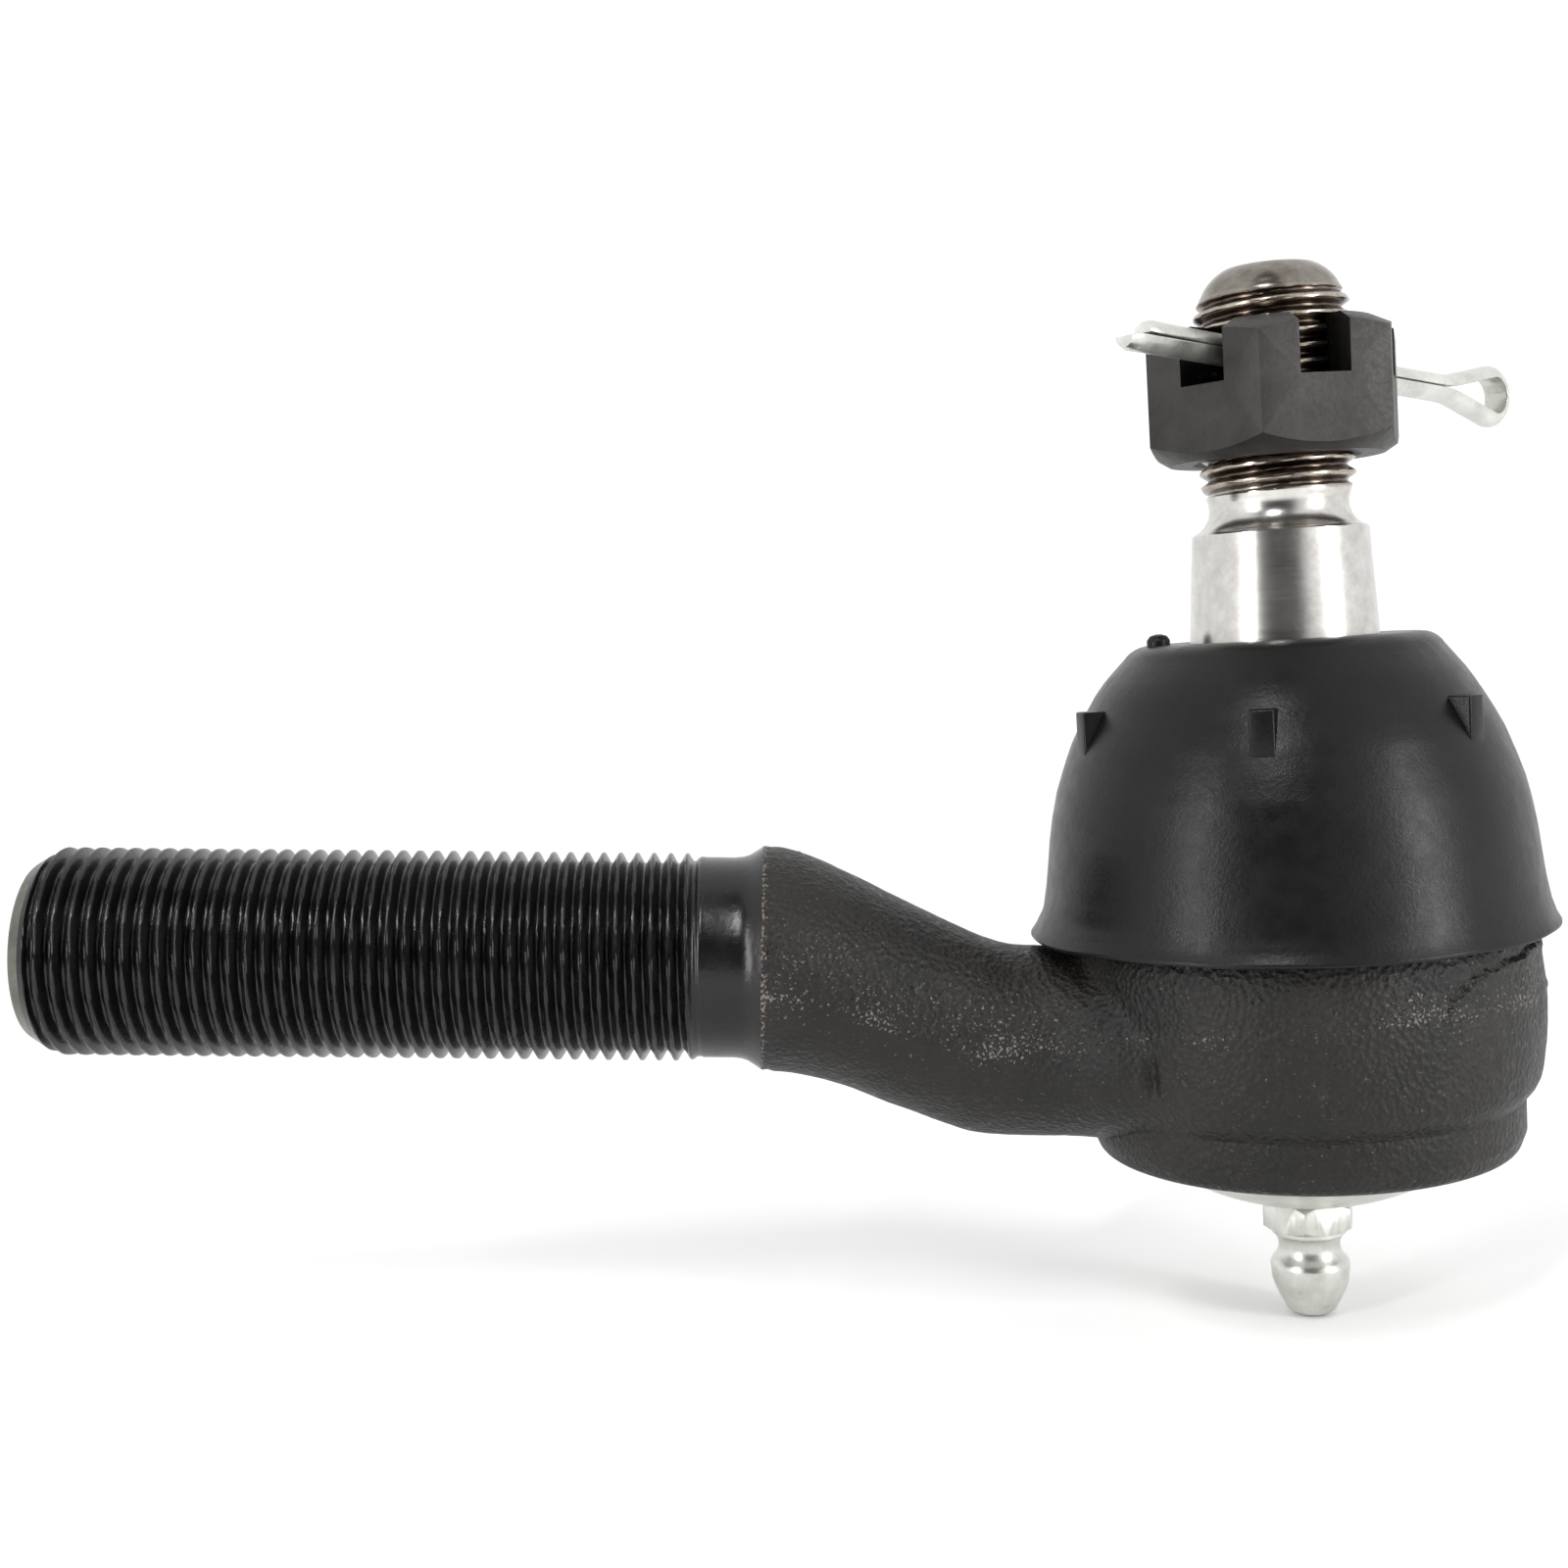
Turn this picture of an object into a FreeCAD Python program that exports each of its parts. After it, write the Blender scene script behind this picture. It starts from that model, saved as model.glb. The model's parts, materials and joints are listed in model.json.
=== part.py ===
"""Tie rod end: forged socket with a threaded shank, tapered ball stud and umbrella boot.

Millimetres, +Z up along the stud. The origin is on the stud's axis at the large end of the
exposed taper, level with the top of the dust boot. The shank points towards -X.
"""
import FreeCAD, Part
import math
import os

V = FreeCAD.Vector

# ---- driving dimensions -------------------------------------------------------------------
BALL_Z = -28.0            # centre of the ball joint on the stud axis
RUN = 0.05                # running clearance, radial

# threaded shank, 11/16-18 UNS, right hand
SHANK_R = 8.73            # thread crest radius
SHANK_PITCH = 25.4 / 18
SHANK_DEPTH = 0.80        # crest to root
SHANK_END = 106.0         # stud axis to the end face, along the shank
SHANK_CREST_START = 103.7 # where the end chamfer reaches full crest
SHANK_THREAD_END = 50.7   # last thread, next to the plain neck
SHANK_NECK_END = 46.5     # plain neck before the forged shoulder
SHANK_SHOULDER = 45.1
SHANK_NECK_R = 8.4
SHANK_SHOULDER_R = 9.4
SHANK_END_R = 7.3
SHANK_TILT = 4.05         # degrees that the shank rises away from the stud
SHANK_AXIS_Z = -27.35     # where the shank axis crosses the stud axis
NECK_SECTIONS = [         # (distance along the shank, offset from its axis, radius)
    (SHANK_SHOULDER, 0.0, SHANK_SHOULDER_R),
    (41.0, -0.7, 9.1),
    (36.1, -2.5, 8.35),
    (32.3, -4.15, 8.05),
    (28.6, -5.65, 7.9),
    (26.1, -6.4, 7.95),
    (23.6, -6.75, 7.95),
    (19.0, -6.8, 7.9),
    (10.0, -6.8, 7.9)]

# forged bowl
BOWL_R = 19.4
BOWL_SHOULDER_Z = -37.4   # where the forged wall ends and the machined rim starts
RIM_R = 17.8
RIM_Z = -42.6             # underside of the rolled rim
RIM_LIP_R = 15.0          # inner edge of the rolled rim
OPENING_H = 7.4           # height of the stud opening above the ball centre
HALF_BALL_R = 14.2
BORE_R = 14.3
COVER_R = 15.95
COVER_T = 1.5
COVER_TOP_Z = -40.4
COVER_DOME_R = 22.3
COVER_POLE_Z = -47.6
COVER_MID_R = 8.5         # where the dome's arcs are pinned between hole and foot

# ball stud, 1/2-20 UNF with a 1:8 taper
STUD_TIP_Z = 30.4
STUD_TIP_R = 3.6
STUD_END_ROUND = (5.35, 28.7)   # (radius, height) on the rounded end
STUD_R = 6.35
STUD_PITCH = 25.4 / 20
STUD_DEPTH = 0.70
THREAD_TOP_Z = 27.6
THREAD_LOW_Z = 12.4
GROOVE_Z = 10.6
GROOVE_R = 5.7
TAPER_TOP_Z = 8.9
TAPER_R0 = 7.7            # taper radius at the origin plane
TAPER_LOW_Z = -6.5
STUD_NECK_R = TAPER_R0 - TAPER_LOW_Z / 16
HEAD_R = 10.5             # spherical underside of the stud's head
HEAD_RIM_R = 10.0

# pressure seat and its spring
SEAT_R = 14.2
SEAT_TOP_Z = -34.0
SEAT_FLANGE_T = 2.0
SEAT_BOSS_R = 8.6
SEAT_BOSS_Z = -41.2
SPRING_WIRE_R = 0.9
SPRING_R = 10.4           # to the wire's centre
SPRING_TURNS = 2.0

# slotted nut and cotter pin
NUT_AF = 19.05
NUT_LOW_Z = 14.7
NUT_TOP_Z = 25.5
NUT_CHAMFER_LOW_R = 8.7
NUT_CHAMFER_TOP_R = 8.2
NUT_CHAMFER_H = 1.5       # at the nut's corners
SLOT_LOW_Z = 20.6
SLOT_W = 4.2
PIN_Z = 22.95
PIN_AZIMUTH = 49.3        # degrees from -Y towards -X, where the pin's tips point
PIN_DROOP = 3.4           # degrees by which the loose pin's eye hangs below its tips
PIN_R = 1.2               # of the two half-round legs together
PIN_TIP = 18.9            # longer leg's tip from the stud axis
PIN_SHORT = 2.2           # how much shorter the upper leg is
PIN_EYE_END = 36.4        # outer end of the eye from the stud axis
PIN_EYE_R = 1.65          # inside radius of the eye
PIN_EYE_FLARE = 20.0      # degrees by which the legs part before the eye
PIN_GAP = 0.06            # half the gap between the two legs
PIN_HOLE_R = 1.7

# dust boot
BOOT_TOP_R = 11.6
BOOT_LIP_Z = -24.1
BOOT_LIP_R = 21.3
BOOT_WALL = 2.0
BOOT_BORE_CLEARANCE = 0.05
BOOT_NUBS = 6
BOOT_NUB_R = 17.7         # vertical outer face of a moulded nub
BOOT_NUB_ROOT_R = 15.75   # inside the boot's wall
BOOT_NUB_W = 2.0
BOOT_NUB_LOW_Z = -8.6
BOOT_NUB_TOP_Z = -5.0
BOOT_NUB_START = 251.0    # azimuth of the first nub
BOOT_PIP_R = 0.9          # moulded vent pip on the boot's top
BOOT_PIP_H = 0.95
BOOT_PIP_X = -10.6
BOOT_PIP_Y = -1.0

# grease fitting, 1/4-28 with a 9/32 in hexagon
FITTING_AF = 7.14
FITTING_HEX_TOP_Z = -47.5
FITTING_HEX_LOW_Z = -49.9
FITTING_HEAD_R = 3.3
FITTING_HEAD_Z = -53.6
FITTING_LAND = 0.8        # length of the head's cylindrical land
FITTING_TIP_Z = -57.3
FITTING_THREAD_R = 3.1
FITTING_INNER_Z = -43.2
FITTING_THREAD_LOW_Z = -50.5
FITTING_NECK_R = 2.55
FITTING_NECK_Z = -51.5
FITTING_BORE_R = 1.45
FITTING_INLET_R = 0.75
FITTING_INLET_H = 1.6     # height of the check ball's seat above the tip
FITTING_OUTLET_R = 1.0
FITTING_OUTLET_H = 0.5
FITTING_AZIMUTH = 282.0   # first face of the hexagon
CHECK_BALL_R = 1.2
CHECK_SPRING_R = 1.0
CHECK_SPRING_WIRE_R = 0.2
CHECK_SPRING_TURNS = 8
CHECK_PLAY = 0.05


# ---- helpers ------------------------------------------------------------------------------
def face(start, *steps):
    """A face in the XZ half plane. A step is (end,) for a line or (through, end) for an arc."""
    edges = []
    here = V(start[0], 0, start[1])
    for step in steps:
        ends = [V(x, 0, z) for x, z in step]
        if len(ends) == 1:
            edges.append(Part.LineSegment(here, ends[0]).toShape())
        else:
            edges.append(Part.Arc(here, ends[0], ends[1]).toShape())
        here = ends[-1]
    edges.append(Part.LineSegment(here, V(start[0], 0, start[1])).toShape())
    return Part.Face(Part.Wire(edges))


def turned(start, *steps):
    """The outline (radius, height) turned about the Z axis."""
    return face(start, *steps).revolve(V(0, 0, 0), V(0, 0, 1), 360)


def cylinder(radius, low, high):
    return Part.makeCylinder(radius, high - low, V(0, 0, low))


def hexagon(across_flats, low, high, first_face):
    """A hexagonal prism whose first face looks along the given azimuth."""
    corner = across_flats / math.sqrt(3)
    angles = [math.radians(first_face + 30 + 60 * k) for k in range(7)]
    corners = [V(corner * math.cos(a), corner * math.sin(a), low) for a in angles]
    return Part.Face(Part.makePolygon(corners)).extrude(V(0, 0, high - low))


def thread_steps(low, pitch, crest_r, depth, turns):
    """Steps of an outline that climbs from low over equal rings of thread."""
    steps = []
    for turn in range(turns):
        z = low + turn * pitch
        steps.append([(crest_r - depth, z)])
        steps.append([(crest_r, z + 0.38 * pitch)])
        steps.append([(crest_r, z + 0.62 * pitch)])
    steps.append([(crest_r - depth, low + turns * pitch)])
    return steps


def on_sphere(radius, centre_z, r, below=False):
    """Height at radius r on a sphere about a point of the Z axis."""
    rise = math.sqrt(radius * radius - r * r)
    return centre_z - rise if below else centre_z + rise


# ---- socket forging -----------------------------------------------------------------------
def along_shank(shape):
    """Moves a shape made along +Z onto the shank's axis."""
    shape.rotate(V(0, 0, 0), V(0, 1, 0), -90 + SHANK_TILT)
    shape.translate(V(0, 0, SHANK_AXIS_Z))
    return shape


def shank():
    turns = int((SHANK_CREST_START - SHANK_THREAD_END) / SHANK_PITCH)
    crest_end = SHANK_THREAD_END + turns * SHANK_PITCH
    root = SHANK_R - SHANK_DEPTH
    return along_shank(turned(
        (0, SHANK_SHOULDER),
        [(SHANK_SHOULDER_R, SHANK_SHOULDER)],
        [(SHANK_NECK_R, SHANK_NECK_END)],
        [(SHANK_NECK_R, SHANK_THREAD_END - 0.8)],
        *thread_steps(SHANK_THREAD_END, SHANK_PITCH, SHANK_R, SHANK_DEPTH, turns),
        [(root, crest_end + 0.6)],
        [(SHANK_END_R, SHANK_END)],
        [(0, SHANK_END)]))


def bent_neck():
    """The S-shaped forged neck, lofted through round sections."""
    rings = []
    last = len(NECK_SECTIONS) - 1
    for index, (along, offset, radius) in enumerate(NECK_SECTIONS):
        before = NECK_SECTIONS[max(index - 1, 0)]
        after = NECK_SECTIONS[min(index + 1, last)]
        slope = 0 if index in (0, last) else math.atan2(after[1] - before[1], before[0] - after[0])
        # local frame: +Z along the shank, +X is up
        centre = V(offset, 0, along)
        normal = V(math.sin(slope), 0, -math.cos(slope))
        rings.append(Part.Wire(Part.Circle(centre, normal, radius).toShape()))
    return along_shank(Part.makeLoft(rings, True, False))


def bowl_outside():
    return turned(
        (0, OPENING_H + BALL_Z),
        [(13.6, OPENING_H + BALL_Z)],
        [(17.8, -22.7), (BOWL_R - 0.1, -27.0)],
        [(BOWL_R + 0.1, -31.5), (BOWL_R - 0.3, -36.2)],
        [(BOWL_R - 0.6, -37.1), (RIM_R + 0.2, BOWL_SHOULDER_Z - 0.6)],
        [(RIM_R, BOWL_SHOULDER_Z - 1.0)],
        [(RIM_R - 0.2, RIM_Z + 1.6)],
        [(RIM_R - 0.9, RIM_Z + 0.4), (RIM_R - 2.0, RIM_Z)],
        [(0, RIM_Z)])


def bowl_inside():
    """Spherical seat under the opening, straight bore, and the cover's recess."""
    seat_r = HALF_BALL_R + RUN
    open_r = math.sqrt(seat_r ** 2 - OPENING_H ** 2)
    open_z = BALL_Z + OPENING_H
    mid = math.radians(28)
    seat = turned(
        (0, BALL_Z - 0.001),
        [(seat_r, BALL_Z - 0.001)],
        [(seat_r, BALL_Z)],
        [(seat_r * math.cos(mid), BALL_Z + seat_r * math.sin(mid)), (open_r, open_z)],
        [(open_r + 1.5, open_z + 2.0)],
        [(0, open_z + 2.0)])
    bore = cylinder(BORE_R, COVER_TOP_Z, BALL_Z)
    recess = cylinder(COVER_R + 0.02, COVER_TOP_Z - COVER_T, COVER_TOP_Z)
    lip = cylinder(RIM_LIP_R, RIM_Z - 1, COVER_TOP_Z)
    return seat.multiFuse([bore, recess, lip])


def socket_forging():
    outside = bowl_outside().multiFuse([bent_neck(), shank()])
    return outside.cut(bowl_inside()).removeSplitter()


# ---- stud and the pieces on it ------------------------------------------------------------
def pin_direction():
    angle = math.radians(PIN_AZIMUTH)
    return V(-math.sin(angle), -math.cos(angle), 0)


def ball_stud():
    turns = int((THREAD_TOP_Z - THREAD_LOW_Z) / STUD_PITCH)
    thread_end = THREAD_LOW_Z + turns * STUD_PITCH
    top_r = TAPER_R0 - TAPER_TOP_Z / 16
    rim_z = on_sphere(HEAD_R, BALL_Z, HEAD_RIM_R, below=True)
    deep = HEAD_R * math.sin(math.radians(45))
    stud = turned(
        (0, BALL_Z - HEAD_R),
        [(deep, BALL_Z - deep), (HEAD_RIM_R, rim_z)],
        [(HEAD_RIM_R, BALL_Z - RUN)],
        [(STUD_NECK_R, BALL_Z - RUN)],
        [(STUD_NECK_R, TAPER_LOW_Z)],
        [(top_r, TAPER_TOP_Z)],
        [(top_r - 0.5, TAPER_TOP_Z + 0.25)],
        [(GROOVE_R, GROOVE_Z), (STUD_R - STUD_DEPTH, THREAD_LOW_Z - 0.3)],
        *thread_steps(THREAD_LOW_Z, STUD_PITCH, STUD_R, STUD_DEPTH, turns),
        [(STUD_R - 0.15, thread_end + 0.45)],
        [STUD_END_ROUND, (STUD_TIP_R, STUD_TIP_Z)],
        [(0, STUD_TIP_Z)])
    hole = Part.makeCylinder(PIN_HOLE_R, 20, pin_direction() * -10 + V(0, 0, PIN_Z), pin_direction())
    return stud.cut(hole)


def slotted_nut():
    first_face = 270 - PIN_AZIMUTH
    body = hexagon(NUT_AF, NUT_LOW_Z, NUT_TOP_Z, first_face)
    corner = NUT_AF / math.sqrt(3) + 0.1
    body = body.common(turned(
        (0, NUT_LOW_Z),
        [(NUT_CHAMFER_LOW_R, NUT_LOW_Z)],
        [(corner, NUT_LOW_Z + NUT_CHAMFER_H)],
        [(corner, NUT_TOP_Z - NUT_CHAMFER_H)],
        [(NUT_CHAMFER_TOP_R, NUT_TOP_Z)],
        [(0, NUT_TOP_Z)]))
    turns = int((NUT_TOP_Z - THREAD_LOW_Z) / STUD_PITCH) + 1
    bore = turned(
        (0, THREAD_LOW_Z),
        *thread_steps(THREAD_LOW_Z, STUD_PITCH, STUD_R + RUN, STUD_DEPTH, turns),
        [(0, THREAD_LOW_Z + turns * STUD_PITCH)])
    lead_in = Part.makeCone(STUD_R + 0.5, STUD_R - 0.6, 1.1, V(0, 0, NUT_LOW_Z))
    body = body.cut(bore).cut(lead_in)
    for index in range(3):
        slot = Part.makeBox(30, SLOT_W, 10, V(-15, -SLOT_W / 2, SLOT_LOW_Z))
        slot.rotate(V(0, 0, 0), V(0, 0, 1), first_face + 60 * index)
        body = body.cut(slot)
    return body


def cotter_pin():
    """Half-round wire bent back on itself: short leg, teardrop eye, long leg."""
    flare = math.radians(PIN_EYE_FLARE)
    bend_r = (PIN_EYE_R * math.cos(flare) - PIN_GAP) / (1 - math.cos(flare))
    eye = PIN_EYE_END - PIN_EYE_R - PIN_R
    part_at = eye - (PIN_EYE_R + bend_r) * math.sin(flare)

    def bend_point(angle, side):
        return V(part_at + bend_r * math.sin(angle), 0,
                 side * (PIN_GAP + bend_r * (1 - math.cos(angle))))

    def leg(tip, side):
        straight = Part.LineSegment(V(-tip, 0, side * PIN_GAP), V(part_at, 0, side * PIN_GAP))
        bend = Part.Arc(bend_point(0, side), bend_point(flare / 2, side), bend_point(flare, side))
        return [straight.toShape(), bend.toShape()]

    short = leg(PIN_TIP - PIN_SHORT, 1)
    long = leg(PIN_TIP, -1)
    loop = Part.Arc(bend_point(flare, 1), V(eye + PIN_EYE_R, 0, 0), bend_point(flare, -1)).toShape()
    path = Part.Wire(short + [loop] + long[::-1])
    start = V(-(PIN_TIP - PIN_SHORT), 0, PIN_GAP)
    flat = Part.LineSegment(start + V(0, -PIN_R, 0), start + V(0, PIN_R, 0)).toShape()
    back = Part.Arc(start + V(0, PIN_R, 0), start + V(0, 0, PIN_R), start + V(0, -PIN_R, 0)).toShape()
    pin = path.makePipeShell([Part.Wire([flat, back])], True, True)
    pin = Part.Solid(pin) if pin.ShapeType == "Shell" else pin
    pin.rotate(V(0, 0, 0), V(0, 1, 0), PIN_DROOP)
    pin.rotate(V(0, 0, 0), V(0, 0, 1), 90 - PIN_AZIMUTH)
    pin.translate(V(0, 0, PIN_Z))
    return pin


# ---- ball joint internals -----------------------------------------------------------------
def half_ball_bearing():
    hole_r = STUD_NECK_R + RUN
    top_r = hole_r + 0.7
    top_z = on_sphere(HALF_BALL_R, BALL_Z, top_r)
    mid = math.radians(25)
    return turned(
        (hole_r, BALL_Z),
        [(HALF_BALL_R, BALL_Z)],
        [(HALF_BALL_R * math.cos(mid), BALL_Z + HALF_BALL_R * math.sin(mid)), (top_r, top_z)],
        [(hole_r, top_z)])


def lower_seat():
    cup_r = HEAD_R + RUN
    depth = BALL_Z - SEAT_TOP_Z
    rim_r = math.sqrt(cup_r ** 2 - depth ** 2)
    passage_r = 1.5
    mid = math.radians(60)
    return turned(
        (passage_r, SEAT_BOSS_Z),
        [(SEAT_BOSS_R, SEAT_BOSS_Z)],
        [(SEAT_BOSS_R, SEAT_TOP_Z - SEAT_FLANGE_T)],
        [(SEAT_R, SEAT_TOP_Z - SEAT_FLANGE_T)],
        [(SEAT_R, SEAT_TOP_Z)],
        [(rim_r, SEAT_TOP_Z)],
        [(cup_r * math.cos(mid), BALL_Z - cup_r * math.sin(mid)),
         (passage_r, on_sphere(cup_r, BALL_Z, passage_r, below=True))])


def coil(radius, low_z, top_z, turns, wire_r):
    """A round-wire helix; radius and heights are those of the wire's centre."""
    helix = Part.makeHelix((top_z - low_z) / turns, top_z - low_z, radius)
    ring = Part.Wire(Part.Circle(V(radius, 0, 0), V(0, 1, 0), wire_r).toShape())
    wire = Part.Wire(helix.Edges).makePipeShell([ring], True, True)
    wire.translate(V(0, 0, low_z))
    return wire


def preload_spring():
    flange_z = SEAT_TOP_Z - SEAT_FLANGE_T
    cover_inner = COVER_DOME_R - COVER_T
    dome_z = COVER_POLE_Z + COVER_DOME_R
    low_z = on_sphere(cover_inner - SPRING_WIRE_R - RUN, dome_z, SPRING_R, below=True)
    top_z = flange_z - SPRING_WIRE_R - RUN
    return coil(SPRING_R, low_z, top_z, SPRING_TURNS, SPRING_WIRE_R)


def cover_plate():
    """Pressed steel disc: flat rim, spherical dome and a tapped hole."""
    dome_z = COVER_POLE_Z + COVER_DOME_R
    inner_r = COVER_DOME_R - COVER_T
    low_rim_z = COVER_TOP_Z - COVER_T
    foot_r = math.sqrt(COVER_DOME_R ** 2 - (dome_z - low_rim_z) ** 2)
    inner_foot_r = math.sqrt(inner_r ** 2 - (dome_z - COVER_TOP_Z) ** 2)
    return turned(
        (FITTING_THREAD_R, on_sphere(COVER_DOME_R, dome_z, FITTING_THREAD_R, below=True)),
        [(COVER_MID_R, on_sphere(COVER_DOME_R, dome_z, COVER_MID_R, below=True)), (foot_r, low_rim_z)],
        [(COVER_R, low_rim_z)],
        [(COVER_R, COVER_TOP_Z)],
        [(inner_foot_r, COVER_TOP_Z)],
        [(COVER_MID_R, on_sphere(inner_r, dome_z, COVER_MID_R, below=True)),
         (FITTING_THREAD_R, on_sphere(inner_r, dome_z, FITTING_THREAD_R, below=True))])


# ---- dust boot ----------------------------------------------------------------------------
def boot_bore(z):
    return TAPER_R0 - z / 16 + BOOT_BORE_CLEARANCE


def dust_boot():
    lip_inner_r = BOWL_R + 0.1
    boot = turned(
        (boot_bore(-BOOT_WALL - 0.6), -BOOT_WALL - 0.6),
        [(boot_bore(0), 0)],
        [(BOOT_TOP_R, 0)],
        [(17.5, -8.0), (20.2, -19.8)],
        [(20.5, -21.9), (BOOT_LIP_R, BOOT_LIP_Z)],
        [(lip_inner_r, BOOT_LIP_Z)],
        [(lip_inner_r, -22.4)],
        [(18.3, -19.8)],
        [(15.75, -8.9), (10.6, -BOOT_WALL - 0.6)])
    extras = [boot_pip()]
    for index in range(BOOT_NUBS):
        nub = Part.makeBox(BOOT_NUB_R - BOOT_NUB_ROOT_R, BOOT_NUB_W, BOOT_NUB_TOP_Z - BOOT_NUB_LOW_Z,
                           V(BOOT_NUB_ROOT_R, -BOOT_NUB_W / 2, BOOT_NUB_LOW_Z))
        nub.rotate(V(0, 0, 0), V(0, 0, 1), BOOT_NUB_START + 360 / BOOT_NUBS * index)
        extras.append(nub)
    return boot.multiFuse(extras)


def boot_pip():
    """Round-topped pip, rooted in the boot's top."""
    edge_z = BOOT_PIP_H - BOOT_PIP_R
    corner = BOOT_PIP_R * math.sin(math.radians(45))
    pip = turned(
        (0, -1.0),
        [(BOOT_PIP_R, -1.0)],
        [(BOOT_PIP_R, edge_z)],
        [(corner, edge_z + corner), (0, BOOT_PIP_H)])
    pip.translate(V(BOOT_PIP_X, BOOT_PIP_Y, 0))
    return pip


# ---- grease fitting -----------------------------------------------------------------------
def grease_fitting_body():
    """Hollow fitting, pointing down, with its check ball's seat at the tip."""
    land = FITTING_LAND / 2
    outside = turned(
        (0, FITTING_INNER_Z),
        [(FITTING_THREAD_R, FITTING_INNER_Z)],
        [(FITTING_THREAD_R, FITTING_THREAD_LOW_Z)],
        [(FITTING_NECK_R, FITTING_NECK_Z), (FITTING_HEAD_R - 0.35, FITTING_HEAD_Z + land + 0.6)],
        [(FITTING_HEAD_R, FITTING_HEAD_Z + land)],
        [(FITTING_HEAD_R, FITTING_HEAD_Z - land)],
        [(2.2, FITTING_TIP_Z + 0.7)],
        [(1.95, FITTING_TIP_Z + 0.15), (1.3, FITTING_TIP_Z)],
        [(0, FITTING_TIP_Z)])
    hexed = hexagon(FITTING_AF, FITTING_HEX_LOW_Z, FITTING_HEX_TOP_Z, FITTING_AZIMUTH)
    bore = cylinder(FITTING_BORE_R, FITTING_TIP_Z + FITTING_INLET_H, FITTING_INNER_Z - FITTING_OUTLET_H)
    inlet = cylinder(FITTING_INLET_R, FITTING_TIP_Z - 1, FITTING_TIP_Z + FITTING_INLET_H + 1)
    outlet = cylinder(FITTING_OUTLET_R, FITTING_INNER_Z - FITTING_OUTLET_H - 1, FITTING_INNER_Z + 1)
    return outside.fuse(hexed).cut(bore.multiFuse([inlet, outlet]))


def grease_fitting_check_ball():
    centre_z = FITTING_TIP_Z + FITTING_INLET_H + CHECK_BALL_R + CHECK_PLAY
    return Part.makeSphere(CHECK_BALL_R, V(0, 0, centre_z))


def grease_fitting_spring():
    gap = CHECK_SPRING_WIRE_R + CHECK_PLAY
    low = FITTING_TIP_Z + FITTING_INLET_H + 2 * CHECK_BALL_R + CHECK_PLAY + gap
    top = FITTING_INNER_Z - FITTING_OUTLET_H - gap
    return coil(CHECK_SPRING_R, low, top, CHECK_SPRING_TURNS, CHECK_SPRING_WIRE_R)


PARTS = [socket_forging, dust_boot, half_ball_bearing, ball_stud, lower_seat, preload_spring,
         cover_plate, grease_fitting_body, grease_fitting_check_ball, grease_fitting_spring,
         slotted_nut, cotter_pin]

os.makedirs("parts", exist_ok=True)
for make in PARTS:
    shape = make()
    print(f"{make.__name__:28s} valid {shape.isValid()}  solids {len(shape.Solids)}  "
          f"volume {shape.Volume:9.1f} mm3")
    shape.exportStep(f"parts/{make.__name__}.step")
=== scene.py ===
"""Looks of the tie rod end: helical threads, forged skin, rubber boot, slotted nut and split pin."""
import json
import math

import bmesh
import bpy
import numpy as np
from mathutils import Matrix, Vector, noise


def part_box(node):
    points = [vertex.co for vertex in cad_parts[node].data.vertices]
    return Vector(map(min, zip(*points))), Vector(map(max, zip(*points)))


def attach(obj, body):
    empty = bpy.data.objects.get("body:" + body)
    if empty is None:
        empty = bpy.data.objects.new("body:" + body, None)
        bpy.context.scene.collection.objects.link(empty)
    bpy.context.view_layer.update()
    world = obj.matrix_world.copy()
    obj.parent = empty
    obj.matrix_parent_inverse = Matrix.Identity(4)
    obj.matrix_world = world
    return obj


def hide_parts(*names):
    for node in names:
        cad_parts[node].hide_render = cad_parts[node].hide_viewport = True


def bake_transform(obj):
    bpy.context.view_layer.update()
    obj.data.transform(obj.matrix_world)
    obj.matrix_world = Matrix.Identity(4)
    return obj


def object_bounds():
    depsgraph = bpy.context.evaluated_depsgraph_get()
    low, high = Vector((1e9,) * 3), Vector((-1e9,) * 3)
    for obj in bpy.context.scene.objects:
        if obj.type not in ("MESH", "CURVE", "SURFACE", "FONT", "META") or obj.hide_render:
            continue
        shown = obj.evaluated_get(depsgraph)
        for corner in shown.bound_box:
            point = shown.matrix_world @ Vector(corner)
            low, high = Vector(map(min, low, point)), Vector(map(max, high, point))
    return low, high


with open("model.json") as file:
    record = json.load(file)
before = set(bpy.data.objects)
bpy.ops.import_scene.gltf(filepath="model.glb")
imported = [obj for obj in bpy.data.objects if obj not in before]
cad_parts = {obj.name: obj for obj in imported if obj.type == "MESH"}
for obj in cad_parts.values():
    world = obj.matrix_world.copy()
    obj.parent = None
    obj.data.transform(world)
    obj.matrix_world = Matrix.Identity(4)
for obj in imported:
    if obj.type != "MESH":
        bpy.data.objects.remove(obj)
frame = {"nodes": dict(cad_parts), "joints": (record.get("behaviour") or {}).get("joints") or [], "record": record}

cad_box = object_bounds()

MM = 0.001
record = frame["record"]
mounts = {m["name"]: m for m in record["mounts"]}
hinges = {j["name"]: j for j in frame["joints"]}

# ---- sizes in millimetres ------------------------------------------------------------------
BALL_Z = hinges["stud_tilt"]["pos_m"][2] / MM
SHANK_R = mounts["shank_thread"]["dims"]["r_mm"]
SHANK_PITCH = 25.4 / 18
SHANK_DEPTH = 0.86
SHANK_END = 106.0
SHANK_END_R = 7.3
SHANK_FULL_CREST = 103.7
SHANK_NECK_R = 8.4
SHANK_SHOULDER = 45.1
SHANK_SHOULDER_R = 9.4
SHANK_THREAD_START = 49.7

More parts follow.
